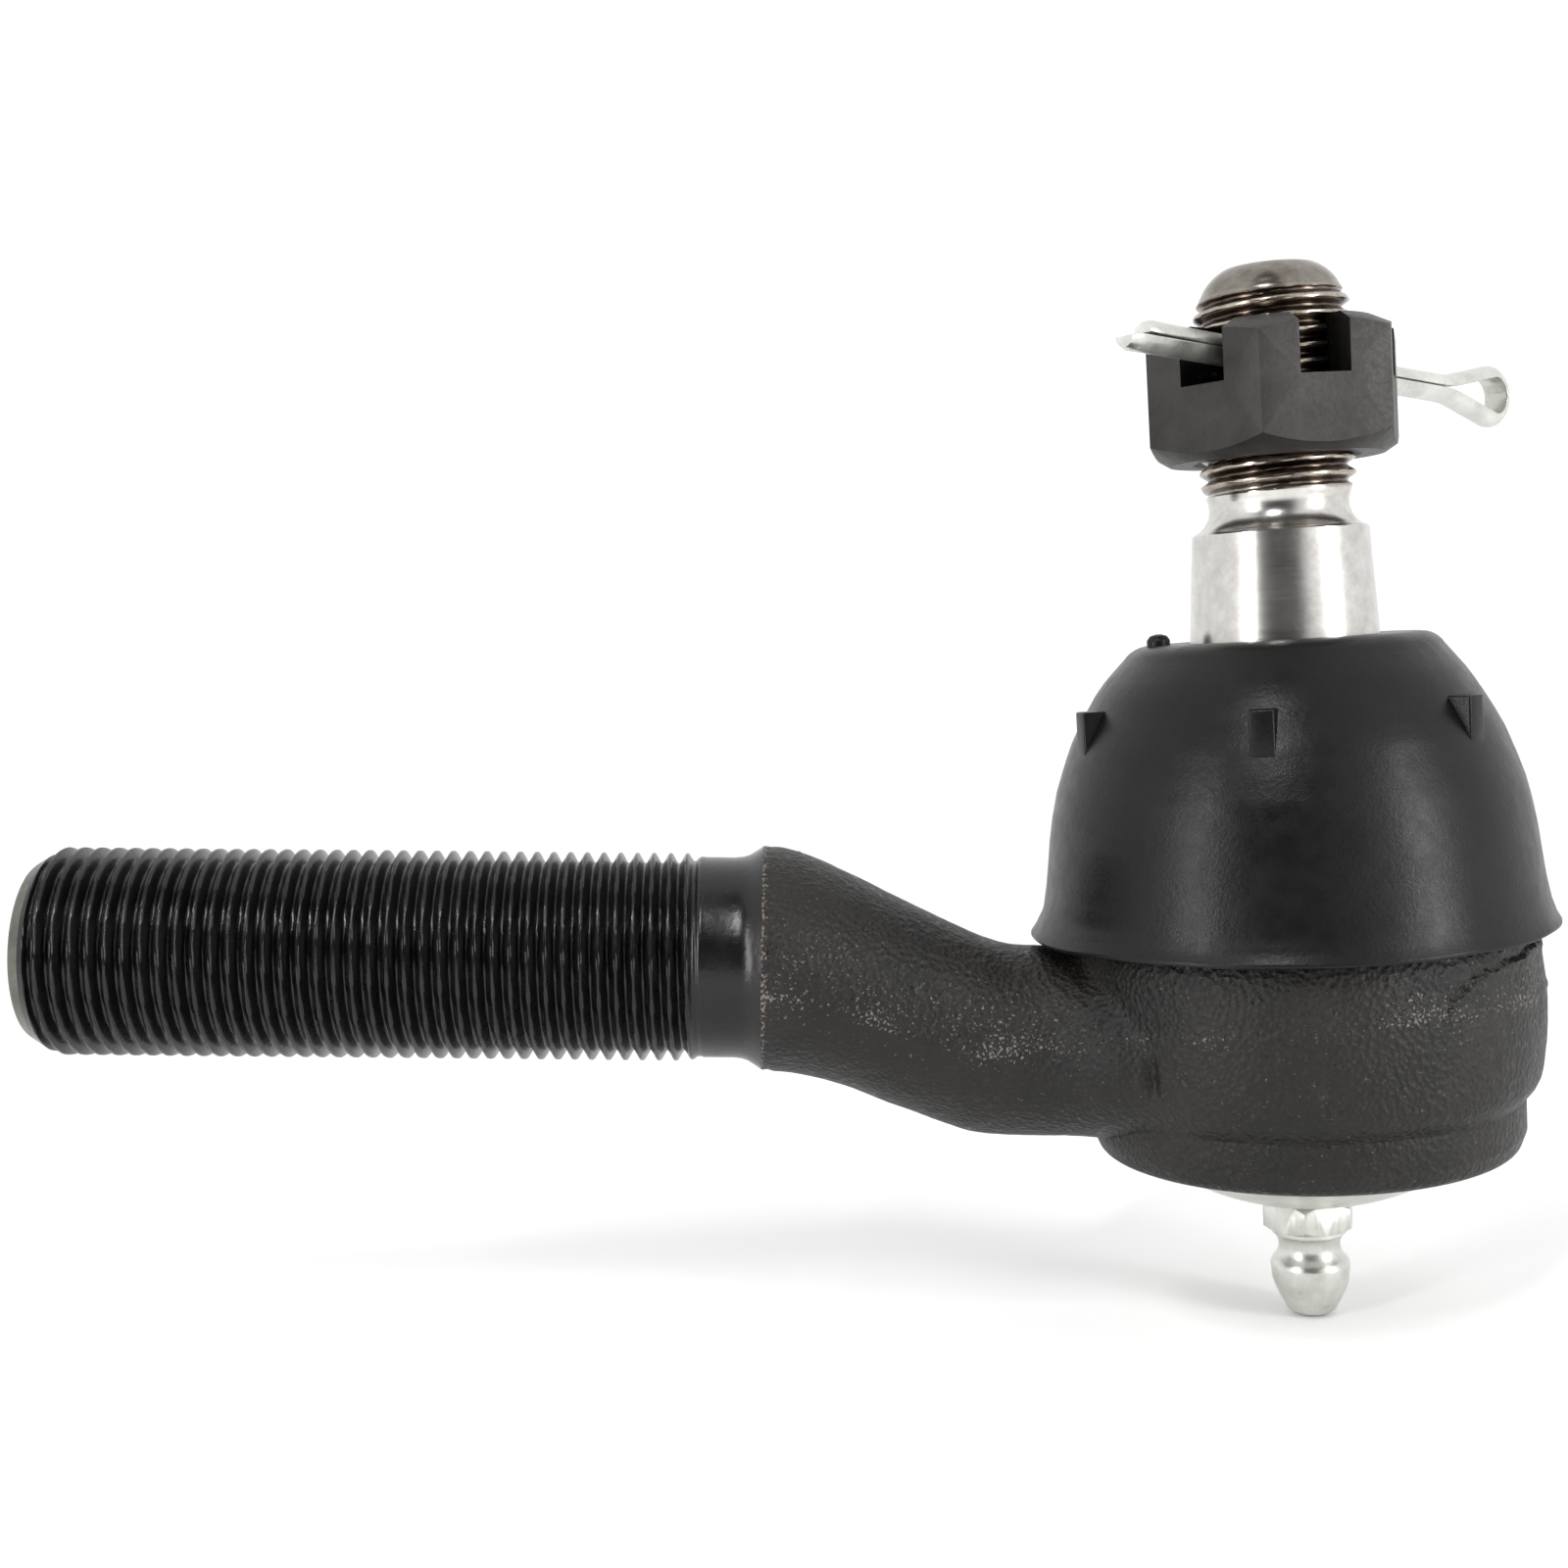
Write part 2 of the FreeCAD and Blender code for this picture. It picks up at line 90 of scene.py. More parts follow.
STUD_R = 6.35
STUD_PITCH = 25.4 / 20
STUD_DEPTH = 0.72
TAPER_R0 = mounts["stud_taper"]["dims"]["r_mm"]
TAPER_TOP_Z = mounts["stud_taper"]["dims"]["length_mm"]
STUD_TIP_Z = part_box("ball_stud")[1].z / MM
NUT_LOW_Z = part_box("slotted_nut")[0].z / MM
NUT_TOP_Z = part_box("slotted_nut")[1].z / MM
NUT_AF = 19.05            # across flats
SLOT_W = 4.2
SLOT_LOW_Z = 20.6
PIN_Z = 22.95
PIN_AZIMUTH = 49.3        # degrees from -Y towards -X, where the pin's tips point
NUT_FIRST_FACE = math.radians(270 - PIN_AZIMUTH)
PIN_DROOP = 3.4           # degrees by which the eye hangs below the tips
PIN_R = 1.2
BOOT_LIP_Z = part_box("dust_boot")[0].z / MM
NUB_R = 17.7              # six short ribs on the boot's shoulder
NUB_LOW_Z, NUB_TOP_Z = -8.6, -5.0
NUB_START = 251           # azimuth of the first, in degrees
PIP_XY = (-10.6, -1.0)    # moulding pip on the boot's top
FITTING_HEAD_R = mounts["grease_fitting_head"]["dims"]["r_mm"]
FITTING_HEAD_Z = mounts["grease_fitting_head"]["pos_m"][2] / MM
FITTING_TIP_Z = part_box("grease_fitting_body")[0].z / MM
FITTING_AF = 7.14
FITTING_FIRST_FACE = math.radians(282)

SOCKET_TOP_Z = BALL_Z + 7.4
SOCKET_BORE_R = 14.3
SOCKET_SEAT_R = 14.25     # spherical, under the opening
RIM_Z = -42.6             # underside of the rolled rim
RIM_LIP_R = 15.0
COVER_TOP_Z = -40.4
COVER_LOW_Z = -41.9


# ---- mesh helpers --------------------------------------------------------------------------
def new_object(name, verts, faces):
    """A mesh object from points in millimetres."""
    mesh = bpy.data.meshes.new(name)
    mesh.from_pydata(np.asarray(verts, float) * MM, [], faces)
    work = bmesh.new()
    work.from_mesh(mesh)
    bmesh.ops.remove_doubles(work, verts=work.verts, dist=1e-7)
    bmesh.ops.recalc_face_normals(work, faces=work.faces)
    work.to_mesh(mesh)
    work.free()
    obj = bpy.data.objects.new(name, mesh)
    bpy.context.scene.collection.objects.link(obj)
    return obj


def skin(name, rings, loop=False, caps=False):
    """Quads over an array (rows, columns, 3) of points whose columns wrap round."""
    rows, columns, _ = rings.shape
    i = np.arange(rows if loop else rows - 1)[:, None]
    j = np.arange(columns)[None, :]
    ahead, beside = (i + 1) % rows, (j + 1) % columns
    quads = np.stack([i * columns + j, i * columns + beside,
                      ahead * columns + beside, ahead * columns + j], -1).reshape(-1, 4).tolist()
    if caps:
        quads.append(list(range(columns))[::-1])
        quads.append([(rows - 1) * columns + k for k in range(columns)])
    return new_object(name, rings.reshape(-1, 3), quads)


def softened(outline, width=0.12):
    """Rounds each sharp corner of an outline of (radius, height) over the given width."""
    points = [Vector(p) for p in outline]
    result = []
    for k, here in enumerate(points):
        back, on = points[k - 1] - here, points[(k + 1) % len(points)] - here
        if here.x < 1e-6 or back.length < 1e-6 or on.length < 1e-6 or back.angle(on) > 2.75:
            result.append(here)
            continue
        a = here + back.normalized() * min(width, back.length * 0.4)
        b = here + on.normalized() * min(width, on.length * 0.4)
        for t in (0, 0.25, 0.5, 0.75, 1):
            result.append(a.lerp(here, t).lerp(here.lerp(b, t), t))
    return [(p.x, p.y) for p in result]


def arc(start, middle, end, count=10):
    """Points of the circle arc through three (radius, height) points, without the first."""
    a, b, c = (complex(*p) for p in (start, middle, end))
    w = (c - a) / (b - a)
    centre = (b - a) * (w - abs(w) ** 2) / (2j * w.imag) + a
    turn_b = np.angle((b - centre) / (a - centre))
    turn = np.angle((c - centre) / (a - centre))
    if turn_b * turn < 0 or abs(turn_b) > abs(turn):
        turn -= math.copysign(2 * math.pi, turn)
    steps = [centre + (a - centre) * np.exp(1j * turn * k / count) for k in range(1, count + 1)]
    return [(p.real, p.imag) for p in steps]


def circles(points, angle):
    """Rings of points (rows, columns, 3) for a list of (radius, height)."""
    p = np.array(points)
    return np.stack([p[:, :1] * np.cos(angle), p[:, :1] * np.sin(angle), p[:, 1:] + 0 * angle], -1)


def turned(name, outline, columns=128):
    """A closed outline of (radius, height) turned about Z."""
    return skin(name, circles(outline, np.arange(columns) * 2 * math.pi / columns), loop=True)


def apply_modifiers(obj):
    evaluated = obj.evaluated_get(bpy.context.evaluated_depsgraph_get())
    mesh = bpy.data.meshes.new_from_object(evaluated)
    obj.modifiers.clear()
    old, obj.data = obj.data, mesh
    bpy.data.meshes.remove(old)
    return obj


def combine(obj, other, operation):
    """Boolean of two closed meshes; the other object is used up."""
    tool = obj.modifiers.new("combine", "BOOLEAN")
    tool.operation = operation
    tool.object = other
    tool.solver = "MANIFOLD"
    apply_modifiers(obj)
    bpy.data.objects.remove(other)
    return obj


def cleaned(obj, reach=0.004):
    """Merges points closer than the reach, in millimetres, and drops the slivers between them."""
    work = bmesh.new()
    work.from_mesh(obj.data)
    bmesh.ops.remove_doubles(work, verts=work.verts, dist=reach * MM)
    bmesh.ops.dissolve_degenerate(work, dist=reach * MM, edges=work.edges)
    bmesh.ops.triangulate(work, faces=[f for f in work.faces if len(f.verts) > 4])
    bmesh.ops.dissolve_degenerate(work, dist=reach * MM, edges=work.edges)
    loose = [v for v in work.verts if not v.link_faces]
    bmesh.ops.delete(work, geom=loose, context="VERTS")
    work.to_mesh(obj.data)
    work.free()
    return obj


def bevelled(obj, width, angle=30, segments=3):
    tool = obj.modifiers.new("edges", "BEVEL")
    tool.width = width * MM
    tool.limit_method = "ANGLE"
    tool.angle_limit = math.radians(angle)
    tool.segments = segments
    return apply_modifiers(obj)


def smooth(obj, angle=35):
    obj.data.shade_smooth()
    obj.data.set_sharp_from_angle(angle=math.radians(angle))
    return obj


def fade(value, low, high):
    """Smooth step from 0 at low to 1 at high."""
    t = np.clip((value - low) / (high - low), 0, 1)
    return t * t * (3 - 2 * t)


def thread_form(height, angle, pitch, depth, crest=0.2, root=0.16):
    """Radial depth below the crest of a right-hand thread: rounded crest and root."""
    phase = (height / pitch - angle / (2 * math.pi)) % 1
    off_crest = np.abs(2 * phase - 1)
    flank = np.clip((off_crest - crest) / (1 - crest - root), 0, 1)
    rounded = flank - 0.10 * np.sin(2 * math.pi * flank) / (2 * math.pi)
    # a rolled crest keeps a fine seam along its middle
    seam = 0.035 * np.exp(-(off_crest / 0.07) ** 2)
    return depth * rounded + seam


# ---- pieces --------------------------------------------------------------------------------
def shank_line():
    """The shank's axis, and the point where it crosses the stud's."""
    axis = Vector(mounts["shank_thread"]["axis"])
    point = Vector(mounts["shank_thread"]["pos_m"])
    return axis, point - axis * (point.x / axis.x)


def place_on_shank(obj):
    """Moves a piece made along +Z from the stud's axis onto the shank's axis."""
    axis, foot = shank_line()
    up = Vector((0, 0, 1))
    up = (up - axis * up.dot(axis)).normalized()
    side = axis.cross(up)
    # local +X is up, local +Y is across and local +Z runs out along the shank
    turn = Matrix((up, side, axis)).transposed().to_4x4()
    obj.data.transform(Matrix.Translation(foot) @ turn)
    return obj


def turned_shank():
    """Shoulder cone, plain neck, rolled thread with run-out and chamfered end."""
    columns = 120
    angle = np.arange(columns) * 2 * math.pi / columns
    start, stop = SHANK_THREAD_START, SHANK_END - 0.25
    threaded = np.linspace(start, stop, int((stop - start) / SHANK_PITCH * 16))
    angles, heights = np.meshgrid(angle, threaded)
    form = thread_form(heights, angles, SHANK_PITCH, SHANK_DEPTH, crest=0.14, root=0.12)
    run_in = fade(heights, SHANK_THREAD_START + 0.1, SHANK_THREAD_START + 1.9)
    radius = (SHANK_R - form) * run_in + (1 - run_in) * np.minimum(SHANK_NECK_R, SHANK_R - 0.4 * form)
    chamfer = SHANK_R - (heights - SHANK_FULL_CREST) * (SHANK_R - SHANK_END_R) / (
        SHANK_END - SHANK_FULL_CREST)
    radius = np.minimum(radius, chamfer)
    before = [(0, 42.0), (SHANK_SHOULDER_R - 0.45, 42.0), (SHANK_SHOULDER_R, SHANK_SHOULDER - 0.05),
              (SHANK_SHOULDER_R - 0.06, SHANK_SHOULDER + 0.06), (8.95, 45.75), (8.62, 46.3),
              (8.47, 46.8), (SHANK_NECK_R, 47.5), (SHANK_NECK_R, 48.6), (SHANK_NECK_R, 49.3)]
    after = [(SHANK_END_R + 0.08, SHANK_END - 0.16), (SHANK_END_R - 0.02, SHANK_END - 0.05),
             (SHANK_END_R - 0.2, SHANK_END), (5.2, SHANK_END - 0.06), (2.6, SHANK_END - 0.5),
             (1.9, SHANK_END - 0.75), (0, SHANK_END - 2.2)]

    middle = np.stack([radius * np.cos(angles), radius * np.sin(angles), heights], -1)
    rings = np.concatenate([circles(before, angle), middle, circles(after, angle)])
    return place_on_shank(skin("turned_shank", rings))


def neck_blank():
    """The S-shaped neck, through rings of (distance along the shank, offset up, half height, half width)."""
    sections = [
        (SHANK_SHOULDER - 0.05, 0.0, 9.3, 9.3), (44.4, -0.02, 9.44, 9.44), (43.2, -0.2, 9.42, 9.4),
        (41.0, -0.7, 9.27, 9.2), (37.3, -2.0, 9.0, 8.75), (34.8, -3.1, 8.85, 8.4),
        (32.3, -4.15, 8.68, 8.2), (29.8, -5.2, 8.5, 8.05), (27.4, -6.1, 8.35, 8.0),
        (24.9, -6.65, 8.05, 8.1), (22.0, -6.8, 7.95, 8.6), (19.0, -6.8, 7.9, 10.2),
        (16.5, -6.8, 7.9, 11.9), (10.0, -6.8, 7.9, 12.6)]
    angle = np.arange(72) * 2 * math.pi / 72
    keys = np.array(sections)
    rings = []
    for t in np.linspace(0, len(keys) - 1, 90):
        k = int(np.clip(math.floor(t), 0, len(keys) - 2))
        before, here, there, beyond = (keys[int(np.clip(k + d, 0, len(keys) - 1))] for d in (-1, 0, 1, 2))
        s = t - k
        # Catmull-Rom between the two nearest sections
        along, offset, tall, wide = 0.5 * (2 * here + (there - before) * s
                                       + (2 * before - 5 * here + 4 * there - beyond) * s ** 2
                                       + (3 * here - before - 3 * there + beyond) * s ** 3)
        rings.append(np.stack([offset + tall * np.cos(angle), wide * np.sin(angle), along + 0 * angle], -1))
    return place_on_shank(skin("neck_blank", np.array(rings), caps=True))


def bowl_blank():
    outline = [(0, SOCKET_TOP_Z), (13.4, SOCKET_TOP_Z)]
    outline += arc((13.4, SOCKET_TOP_Z), (17.8, -22.7), (19.3, -27.0))
    outline += arc((19.3, -27.0), (19.5, -31.5), (19.1, -36.2))
    outline += arc((19.1, -36.2), (18.6, -37.25), (17.66, -38.1), 6)
    outline += [(17.3, -39.4), (0, -39.4)]
    return turned("bowl_blank", outline, 160)


def lumps(point, size, strength, seed=0.0):
    return strength * noise.noise(Vector(point) / (size * MM) + Vector((seed, seed, seed)))


# azimuth in degrees (from -Y towards +X), height in mm: a lap in the skin under the boot's lip
LAP = [(88, -25.2), (69, -25.2), (54, -24.9), (46, -25.4), (38, -25.5), (31, -25.8), (27, -26.4),
       (24, -27.0), (21, -27.6), (20, -28.3)]
# (azimuth, height, half width, half height, depth) of dents in the bowl
DENTS = [(-7.6, -34.2, 0.85, 1.1, 0.35), (-50.0, -33.6, 0.4, 1.5, 0.45), (-27, -35.6, 0.7, 0.5, 0.12),
         (33, -33.0, 0.6, 0.4, 0.12), (128, -32.5, 0.8, 0.9, 0.25), (205, -34.0, 0.6, 1.3, 0.3)]


def flash_line(x, y):
    """Height of the low flash line that runs round the middle of the bowl and the neck."""
    line_z = -28.9 - 1.3 * float(fade(-x, -2, 12)) - 1.6 * float(fade(-x, 13, 24))
    line_z += 6.0 * float(fade(-x, 26, 46))
    return line_z + 0.4 * noise.noise(Vector((x / 4, y / 4, 1.5)))


def painted_glints(point, axis, foot):
    """Where bright specks are painted into the paint's colour as glints: along the flash line, at the shoulder and
    in patches.
    """
    x, y, z = (c / MM for c in point)
    along = (point - foot).dot(axis) / MM
    patch = 0.5 + 0.9 * noise.noise(Vector((x / 5, y / 5, z / 5)))
    band = 0.55 * math.exp(-((z - flash_line(x, y)) / 0.75) ** 2)
    scatter = 0.40 * float(fade(-x, 16, 26)) * math.exp(-((z - flash_line(x, y) - 2.2) / 2.6) ** 2)
    scatter += 0.30 * math.exp(-((z + 27.5) / 1.5) ** 2) * float(fade(x, -6, 4))
    edge = 0.95 * math.exp(-((along - SHANK_SHOULDER + 0.05) / 0.13) ** 2)
    return min(1.0, max(0.0, (band + scatter) * patch + 0.10 * patch) + edge)


def forged_height(point):
    """How far, in millimetres, the forged skin stands from the plain form at a point."""
    x, y, z = (c / MM for c in point)
    height = lumps(point, 8.0, 0.14) + lumps(point, 3.1, 0.05, 3.1) + lumps(point, 1.3, 0.03, 7.7)
    height += lumps(point, 0.6, 0.014, 2.2)
    ragged = 0.25 + 1.5 * abs(noise.noise(Vector((x * 0.9, y * 0.9, 4.2))))
    height += 0.15 * ragged * math.exp(-((z - flash_line(x, y)) / 0.30) ** 2)
    radius = math.hypot(x, y)
    if radius > 17.5 and x > -19:
        azimuth = math.degrees(math.atan2(x, -y)) % 360
        lap_z = np.interp(azimuth, [a for a, _ in LAP[::-1]], [h for _, h in LAP[::-1]])
        lap_z += 0.35 * noise.noise(Vector((azimuth / 2.3, 2.0, 0)))
        if 20 < azimuth < 88:
            height -= 0.30 * math.exp(-((z - lap_z) / 0.16) ** 2)
            height += 0.16 * math.exp(-((z - lap_z + 0.42) / 0.28) ** 2)
        for where, level, wide, tall, depth in DENTS:
            across = math.radians((azimuth - where + 180) % 360 - 180) * radius / wide
            height -= depth * math.exp(-across ** 4 - ((z - level) / tall) ** 4)
    return height


def forged_blank():
    """Neck and bowl grown together with a fillet, and the forging's uneven skin."""
    blank = combine(neck_blank(), bowl_blank(), "UNION")
    tool = blank.modifiers.new("grow", "REMESH")
    tool.mode = "VOXEL"
    tool.voxel_size = 0.36 * MM
    tool.adaptivity = 0
    apply_modifiers(blank)
    # the corner between neck and bowl is eased below, and stays a crease above
    corner = blank.vertex_groups.new(name="corner")
    for vertex in blank.data.vertices:
        x, y, z = (c / MM for c in vertex.co)
        near = math.exp(-((math.hypot(x, y) - 19.6) / 3.0) ** 2) * float(fade(-x, 11, 14))
        low = float(fade(-z, 30, 36))
        weight = near * (0.03 + 0.97 * low) * float(fade(42.5 + z, 0, 1.5))
        if weight > 0.02:
            corner.add([vertex.index], weight, "REPLACE")
    fillet = blank.modifiers.new("fillet", "SMOOTH")
    fillet.factor = 0.9
    fillet.iterations = 90
    fillet.vertex_group = "corner"
    ease = blank.modifiers.new("ease", "SMOOTH")
    ease.factor = 0.5
    ease.iterations = 13
    apply_modifiers(blank)
    mesh = blank.data
    normals = [v.normal.copy() for v in mesh.vertices]
    axis, foot = shank_line()
    for vertex, normal in zip(mesh.vertices, normals):
        along = (vertex.co - foot).dot(axis) / MM
        calm = 1 - float(fade(along, 43.2, 44.2))
        vertex.co += normal * (forged_height(vertex.co) * calm * MM)
    mesh.update()
    return blank


def machined_rim():
    """The turned rim that is rolled over the cover plate."""
    outline = [(10, -37.2), (17.6, -38.05), (17.74, -38.35), (17.72, -40.9), (17.35, -41.9)]
    outline += arc((17.35, -41.9), (16.9, RIM_Z + 0.15), (16.2, RIM_Z), 6)
    outline += [(RIM_LIP_R + 0.25, RIM_Z), (RIM_LIP_R, RIM_Z + 0.25), (14.0, -40.0), (10, -40.0)]
    return turned("machined_rim", softened(outline, 0.1), 160)


def socket_cavity():
    outline = [(0, -45), (RIM_LIP_R, -45), (RIM_LIP_R, COVER_LOW_Z), (15.97, COVER_LOW_Z),
               (15.97, COVER_TOP_Z), (SOCKET_BORE_R, COVER_TOP_Z), (SOCKET_BORE_R, BALL_Z),
               (SOCKET_SEAT_R, BALL_Z)]
    halfway = (SOCKET_SEAT_R * math.cos(0.49), BALL_Z + SOCKET_SEAT_R * math.sin(0.49))
    outline += arc((SOCKET_SEAT_R, BALL_Z), halfway, (12.18, SOCKET_TOP_Z), 12)
    outline += [(13.4, SOCKET_TOP_Z + 1.8), (0, SOCKET_TOP_Z + 1.8)]
    return turned("socket_cavity", outline, 128)


def socket_forging():
    body = combine(forged_blank(), machined_rim(), "UNION")
    body = combine(body, turned_shank(), "UNION")
    body = cleaned(combine(body, socket_cavity(), "DIFFERENCE"))
    body.name = "forged_socket"
    # painted glints: a per-point mask of where bright specks are painted into the forging's colour
    glint_layer = body.data.color_attributes.new("painted_glints", "FLOAT_COLOR", "POINT")
    axis, foot = shank_line()
    for vertex, value in zip(body.data.vertices, glint_layer.data):
        amount = painted_glints(vertex.co, axis, foot)
        value.color = (amount, amount, amount, 1)
    return smooth(body, 40)


def stud():
    columns = 120
    angle = np.arange(columns) * 2 * math.pi / columns
    low, high = 12.0, 28.2
    heights = np.linspace(low, high, int((high - low) / STUD_PITCH * 18))
    angles, heights = np.meshgrid(angle, heights)
    form = thread_form(heights, angles, STUD_PITCH, STUD_DEPTH, crest=0.12, root=0.14)
    radius = STUD_R - form
    top_limit = STUD_R - 0.05 - fade(heights, 26.9, 28.4) * 0.6
    low_limit = 5.9 + 0.45 * fade(heights, 12.0, 13.1)
    radius = np.minimum(radius, np.minimum(top_limit, low_limit))
    head = [(0, BALL_Z - 10.5)]
    head += arc((0, BALL_Z - 10.5), (7.42, BALL_Z - 7.42), (10.0, BALL_Z - 3.2), 12)
    head += [(10.0, BALL_Z - 0.05), (8.1, BALL_Z - 0.05), (8.1, -6.5)]
    low_end = head + [(TAPER_R0 - TAPER_TOP_Z / 16 + 0.02, TAPER_TOP_Z - 0.15),
                      (TAPER_R0 - TAPER_TOP_Z / 16 - 0.18, TAPER_TOP_Z + 0.03)]
    low_end += [(6.75, TAPER_TOP_Z + 0.12)]
    low_end += arc((6.75, TAPER_TOP_Z + 0.12), (5.72, 10.4), (5.9, 11.9), 10)
    tip = [(5.62, 28.35)] + arc((5.62, 28.35), (5.05, 29.3), (3.75, STUD_TIP_Z - 0.07), 10)
    tip += [(3.4, STUD_TIP_Z), (0, STUD_TIP_Z)]

    middle = np.stack([radius * np.cos(angles), radius * np.sin(angles), heights], -1)
    body = skin("stud", np.concatenate([circles(low_end, angle), middle, circles(tip, angle)]))
    hole = turned("cross_hole", [(0, -12), (1.7, -12), (1.7, 12), (0, 12)], 40)
    hole.data.transform(pin_frame())
    body = cleaned(combine(body, hole, "DIFFERENCE"))
    body.name = "tapered_stud"
    return smooth(body, 35)


def pin_frame(lengthwise="Z"):
    """Turns local +Z (or +X) to point from the pin's tips towards its eye, at the pin's height."""
    a = math.radians(PIN_AZIMUTH)
    along = Vector((math.sin(a), math.cos(a), 0))
    up = Vector((0, 0, 1))
    side = up.cross(along)
    axes = (side, up, along) if lengthwise == "Z" else (along, side, up)
    return Matrix.Translation((0, 0, PIN_Z * MM)) @ Matrix(axes).transposed().to_4x4()


def prism(name, corners, low, high):
    rings = np.array([[(x, y, z) for x, y in corners] for z in (low, high)])
    return skin(name, rings, caps=True)


def hex_corners(across_flats, first_face):
    corner = across_flats / math.sqrt(3)
    angles = [first_face + math.radians(30 + 60 * k) for k in range(6)]
    return [(corner * math.cos(a), corner * math.sin(a)) for a in angles]


def nut():
    body = prism("nut", hex_corners(NUT_AF, NUT_FIRST_FACE), NUT_LOW_Z, NUT_TOP_Z)
    limit = NUT_AF / math.sqrt(3) + 0.1
    outline = [(0, NUT_LOW_Z), (8.7, NUT_LOW_Z), (limit, NUT_LOW_Z + 1.5), (limit, NUT_TOP_Z - 1.5),
               (8.2, NUT_TOP_Z), (0, NUT_TOP_Z)]
    body = combine(body, turned("nut_chamfer", outline, 192), "INTERSECT")
    core = turned("core", [(0, 10), (5.75, 10), (5.75, 30), (0, 30)], 96)
    body = combine(body, core, "DIFFERENCE")
    for k in range(3):
        turn = NUT_FIRST_FACE + math.radians(60 * k)
        across = np.array([math.cos(turn), math.sin(turn)])
        beside = np.array([-across[1], across[0]]) * SLOT_W / 2
        ends = [across * 15 - beside, across * 15 + beside, -across * 15 + beside, -across * 15 - beside]
        body = combine(body, prism("slot", ends, SLOT_LOW_Z, 30), "DIFFERENCE")
    body = bevelled(body, 0.16, 38, 2)
    body = cleaned(combine(body, nut_thread(), "DIFFERENCE"))
    body.name = "castle_nut"
    return smooth(body, 32)


def shade_nut_slots(piece):
    """Faces inside the nut's slots and bore get the darker, near-black material: painted shade where these
    recesses lie in shade.
    """
    for face in piece.data.polygons:
        x, y, z = (c / MM for c in face.center)
        turn = (math.atan2(y, x) - NUT_FIRST_FACE) % (math.pi / 3)
        off_centre = math.hypot(x, y) * math.sin(min(turn, math.pi / 3 - turn))
        in_slot = z > SLOT_LOW_Z - 0.05 and abs(off_centre) < SLOT_W / 2 + 0.03
        face.material_index = 1 if in_slot or math.hypot(x, y) < STUD_R + 0.1 else 0


def nut_thread():
    """The stud's thread a little larger, to cut the nut's bore, with a lead-in below."""
    columns = 96
    angle = np.arange(columns) * 2 * math.pi / columns
    heights = np.linspace(13.4, 26.6, 200)
    angles, heights = np.meshgrid(angle, heights)
    radius = STUD_R + 0.06 - thread_form(heights, angles, STUD_PITCH, STUD_DEPTH, 0.12, 0.14)
    radius = np.maximum(radius, STUD_R + 0.5 - (heights - NUT_LOW_Z))
    rings = np.stack([radius * np.cos(angles), radius * np.sin(angles), heights], -1)
    return skin("nut_thread", rings, caps=True)


def cotter_pin():
    """Half-round wire folded on itself, with a teardrop eye and two straight tips."""
    gap, eye_r, flare, eye_end = 0.05, 1.65, math.radians(12.5), 36.38
    eye = eye_end - eye_r - PIN_R
    touch = eye - eye_r * math.sin(flare)
    part = touch - (eye_r * math.cos(flare) - gap) / math.tan(flare)

    def leg(tip, spread):
        s = np.concatenate([np.linspace(-tip, part - 3, 56), np.linspace(part - 2.7, touch, 34)])
        lift = gap + spread * np.clip((-s - 9) / 10, 0, 1) ** 1.6
        lift += math.tan(flare) * 0.5 * (s - part + np.sqrt((s - part) ** 2 + 0.8))
        return np.stack([s, lift], -1)

    long, short = leg(18.9, 0.02), leg(16.7, 0.12)
    long[:, 1] *= -1
    sweep = np.linspace(-math.pi / 2 - flare, math.pi / 2 + flare, 46)[1:-1]
    loop = np.stack([eye + eye_r * np.cos(sweep), eye_r * np.sin(sweep)], -1)
    path = np.concatenate([long, loop, short[::-1]])
    tangent = np.gradient(path, axis=0)
    tangent /= np.linalg.norm(tangent, axis=1)[:, None]
    outward = np.stack([tangent[:, 1], -tangent[:, 0]], -1)
    length = np.concatenate([[0], np.cumsum(np.linalg.norm(np.diff(path, axis=0), axis=1))])
    from_end = np.minimum(length, length[-1] - length)
    size = 0.72 + 0.28 * np.sqrt(np.clip(from_end / 0.5, 0, 1))
    half = [(math.cos(a) * PIN_R, math.sin(a) * PIN_R) for a in np.linspace(0, math.pi, 17)]
    section = softened([(x + 10, y) for x, y in half], 0.15)
    section = np.array([(x - 10, y) for x, y in section])
    wide, deep = section[:, 0], section[:, 1]
    middle = 0.45
    rings = np.empty((len(path), len(section), 3))
    for k, (point, out) in enumerate(zip(path, outward)):
        reach = middle + (deep - middle) * size[k]
        rings[k, :, 0] = point[0] + out[0] * reach
        rings[k, :, 1] = wide * size[k]
        rings[k, :, 2] = point[1] + out[1] * reach
    body = skin("split_pin", rings, caps=True)
    body.data.transform(pin_frame("X") @ Matrix.Rotation(math.radians(PIN_DROOP), 4, "Y"))
    return smooth(body, 50)


# (height, radius) of the boot's outer skin
BOOT_SKIN = [(-1.1, 12.95), (-2.0, 13.75), (-3.0, 14.6), (-4.0, 15.3), (-5.0, 15.9), (-6.5, 16.75),
             (-8.0, 17.5), (-10.0, 18.25), (-12.0, 18.92), (-14.0, 19.38), (-16.0, 19.72), (-18.0, 19.95),
             (-20.0, 20.2), (-22.0, 20.55), (-23.2, 20.92)]


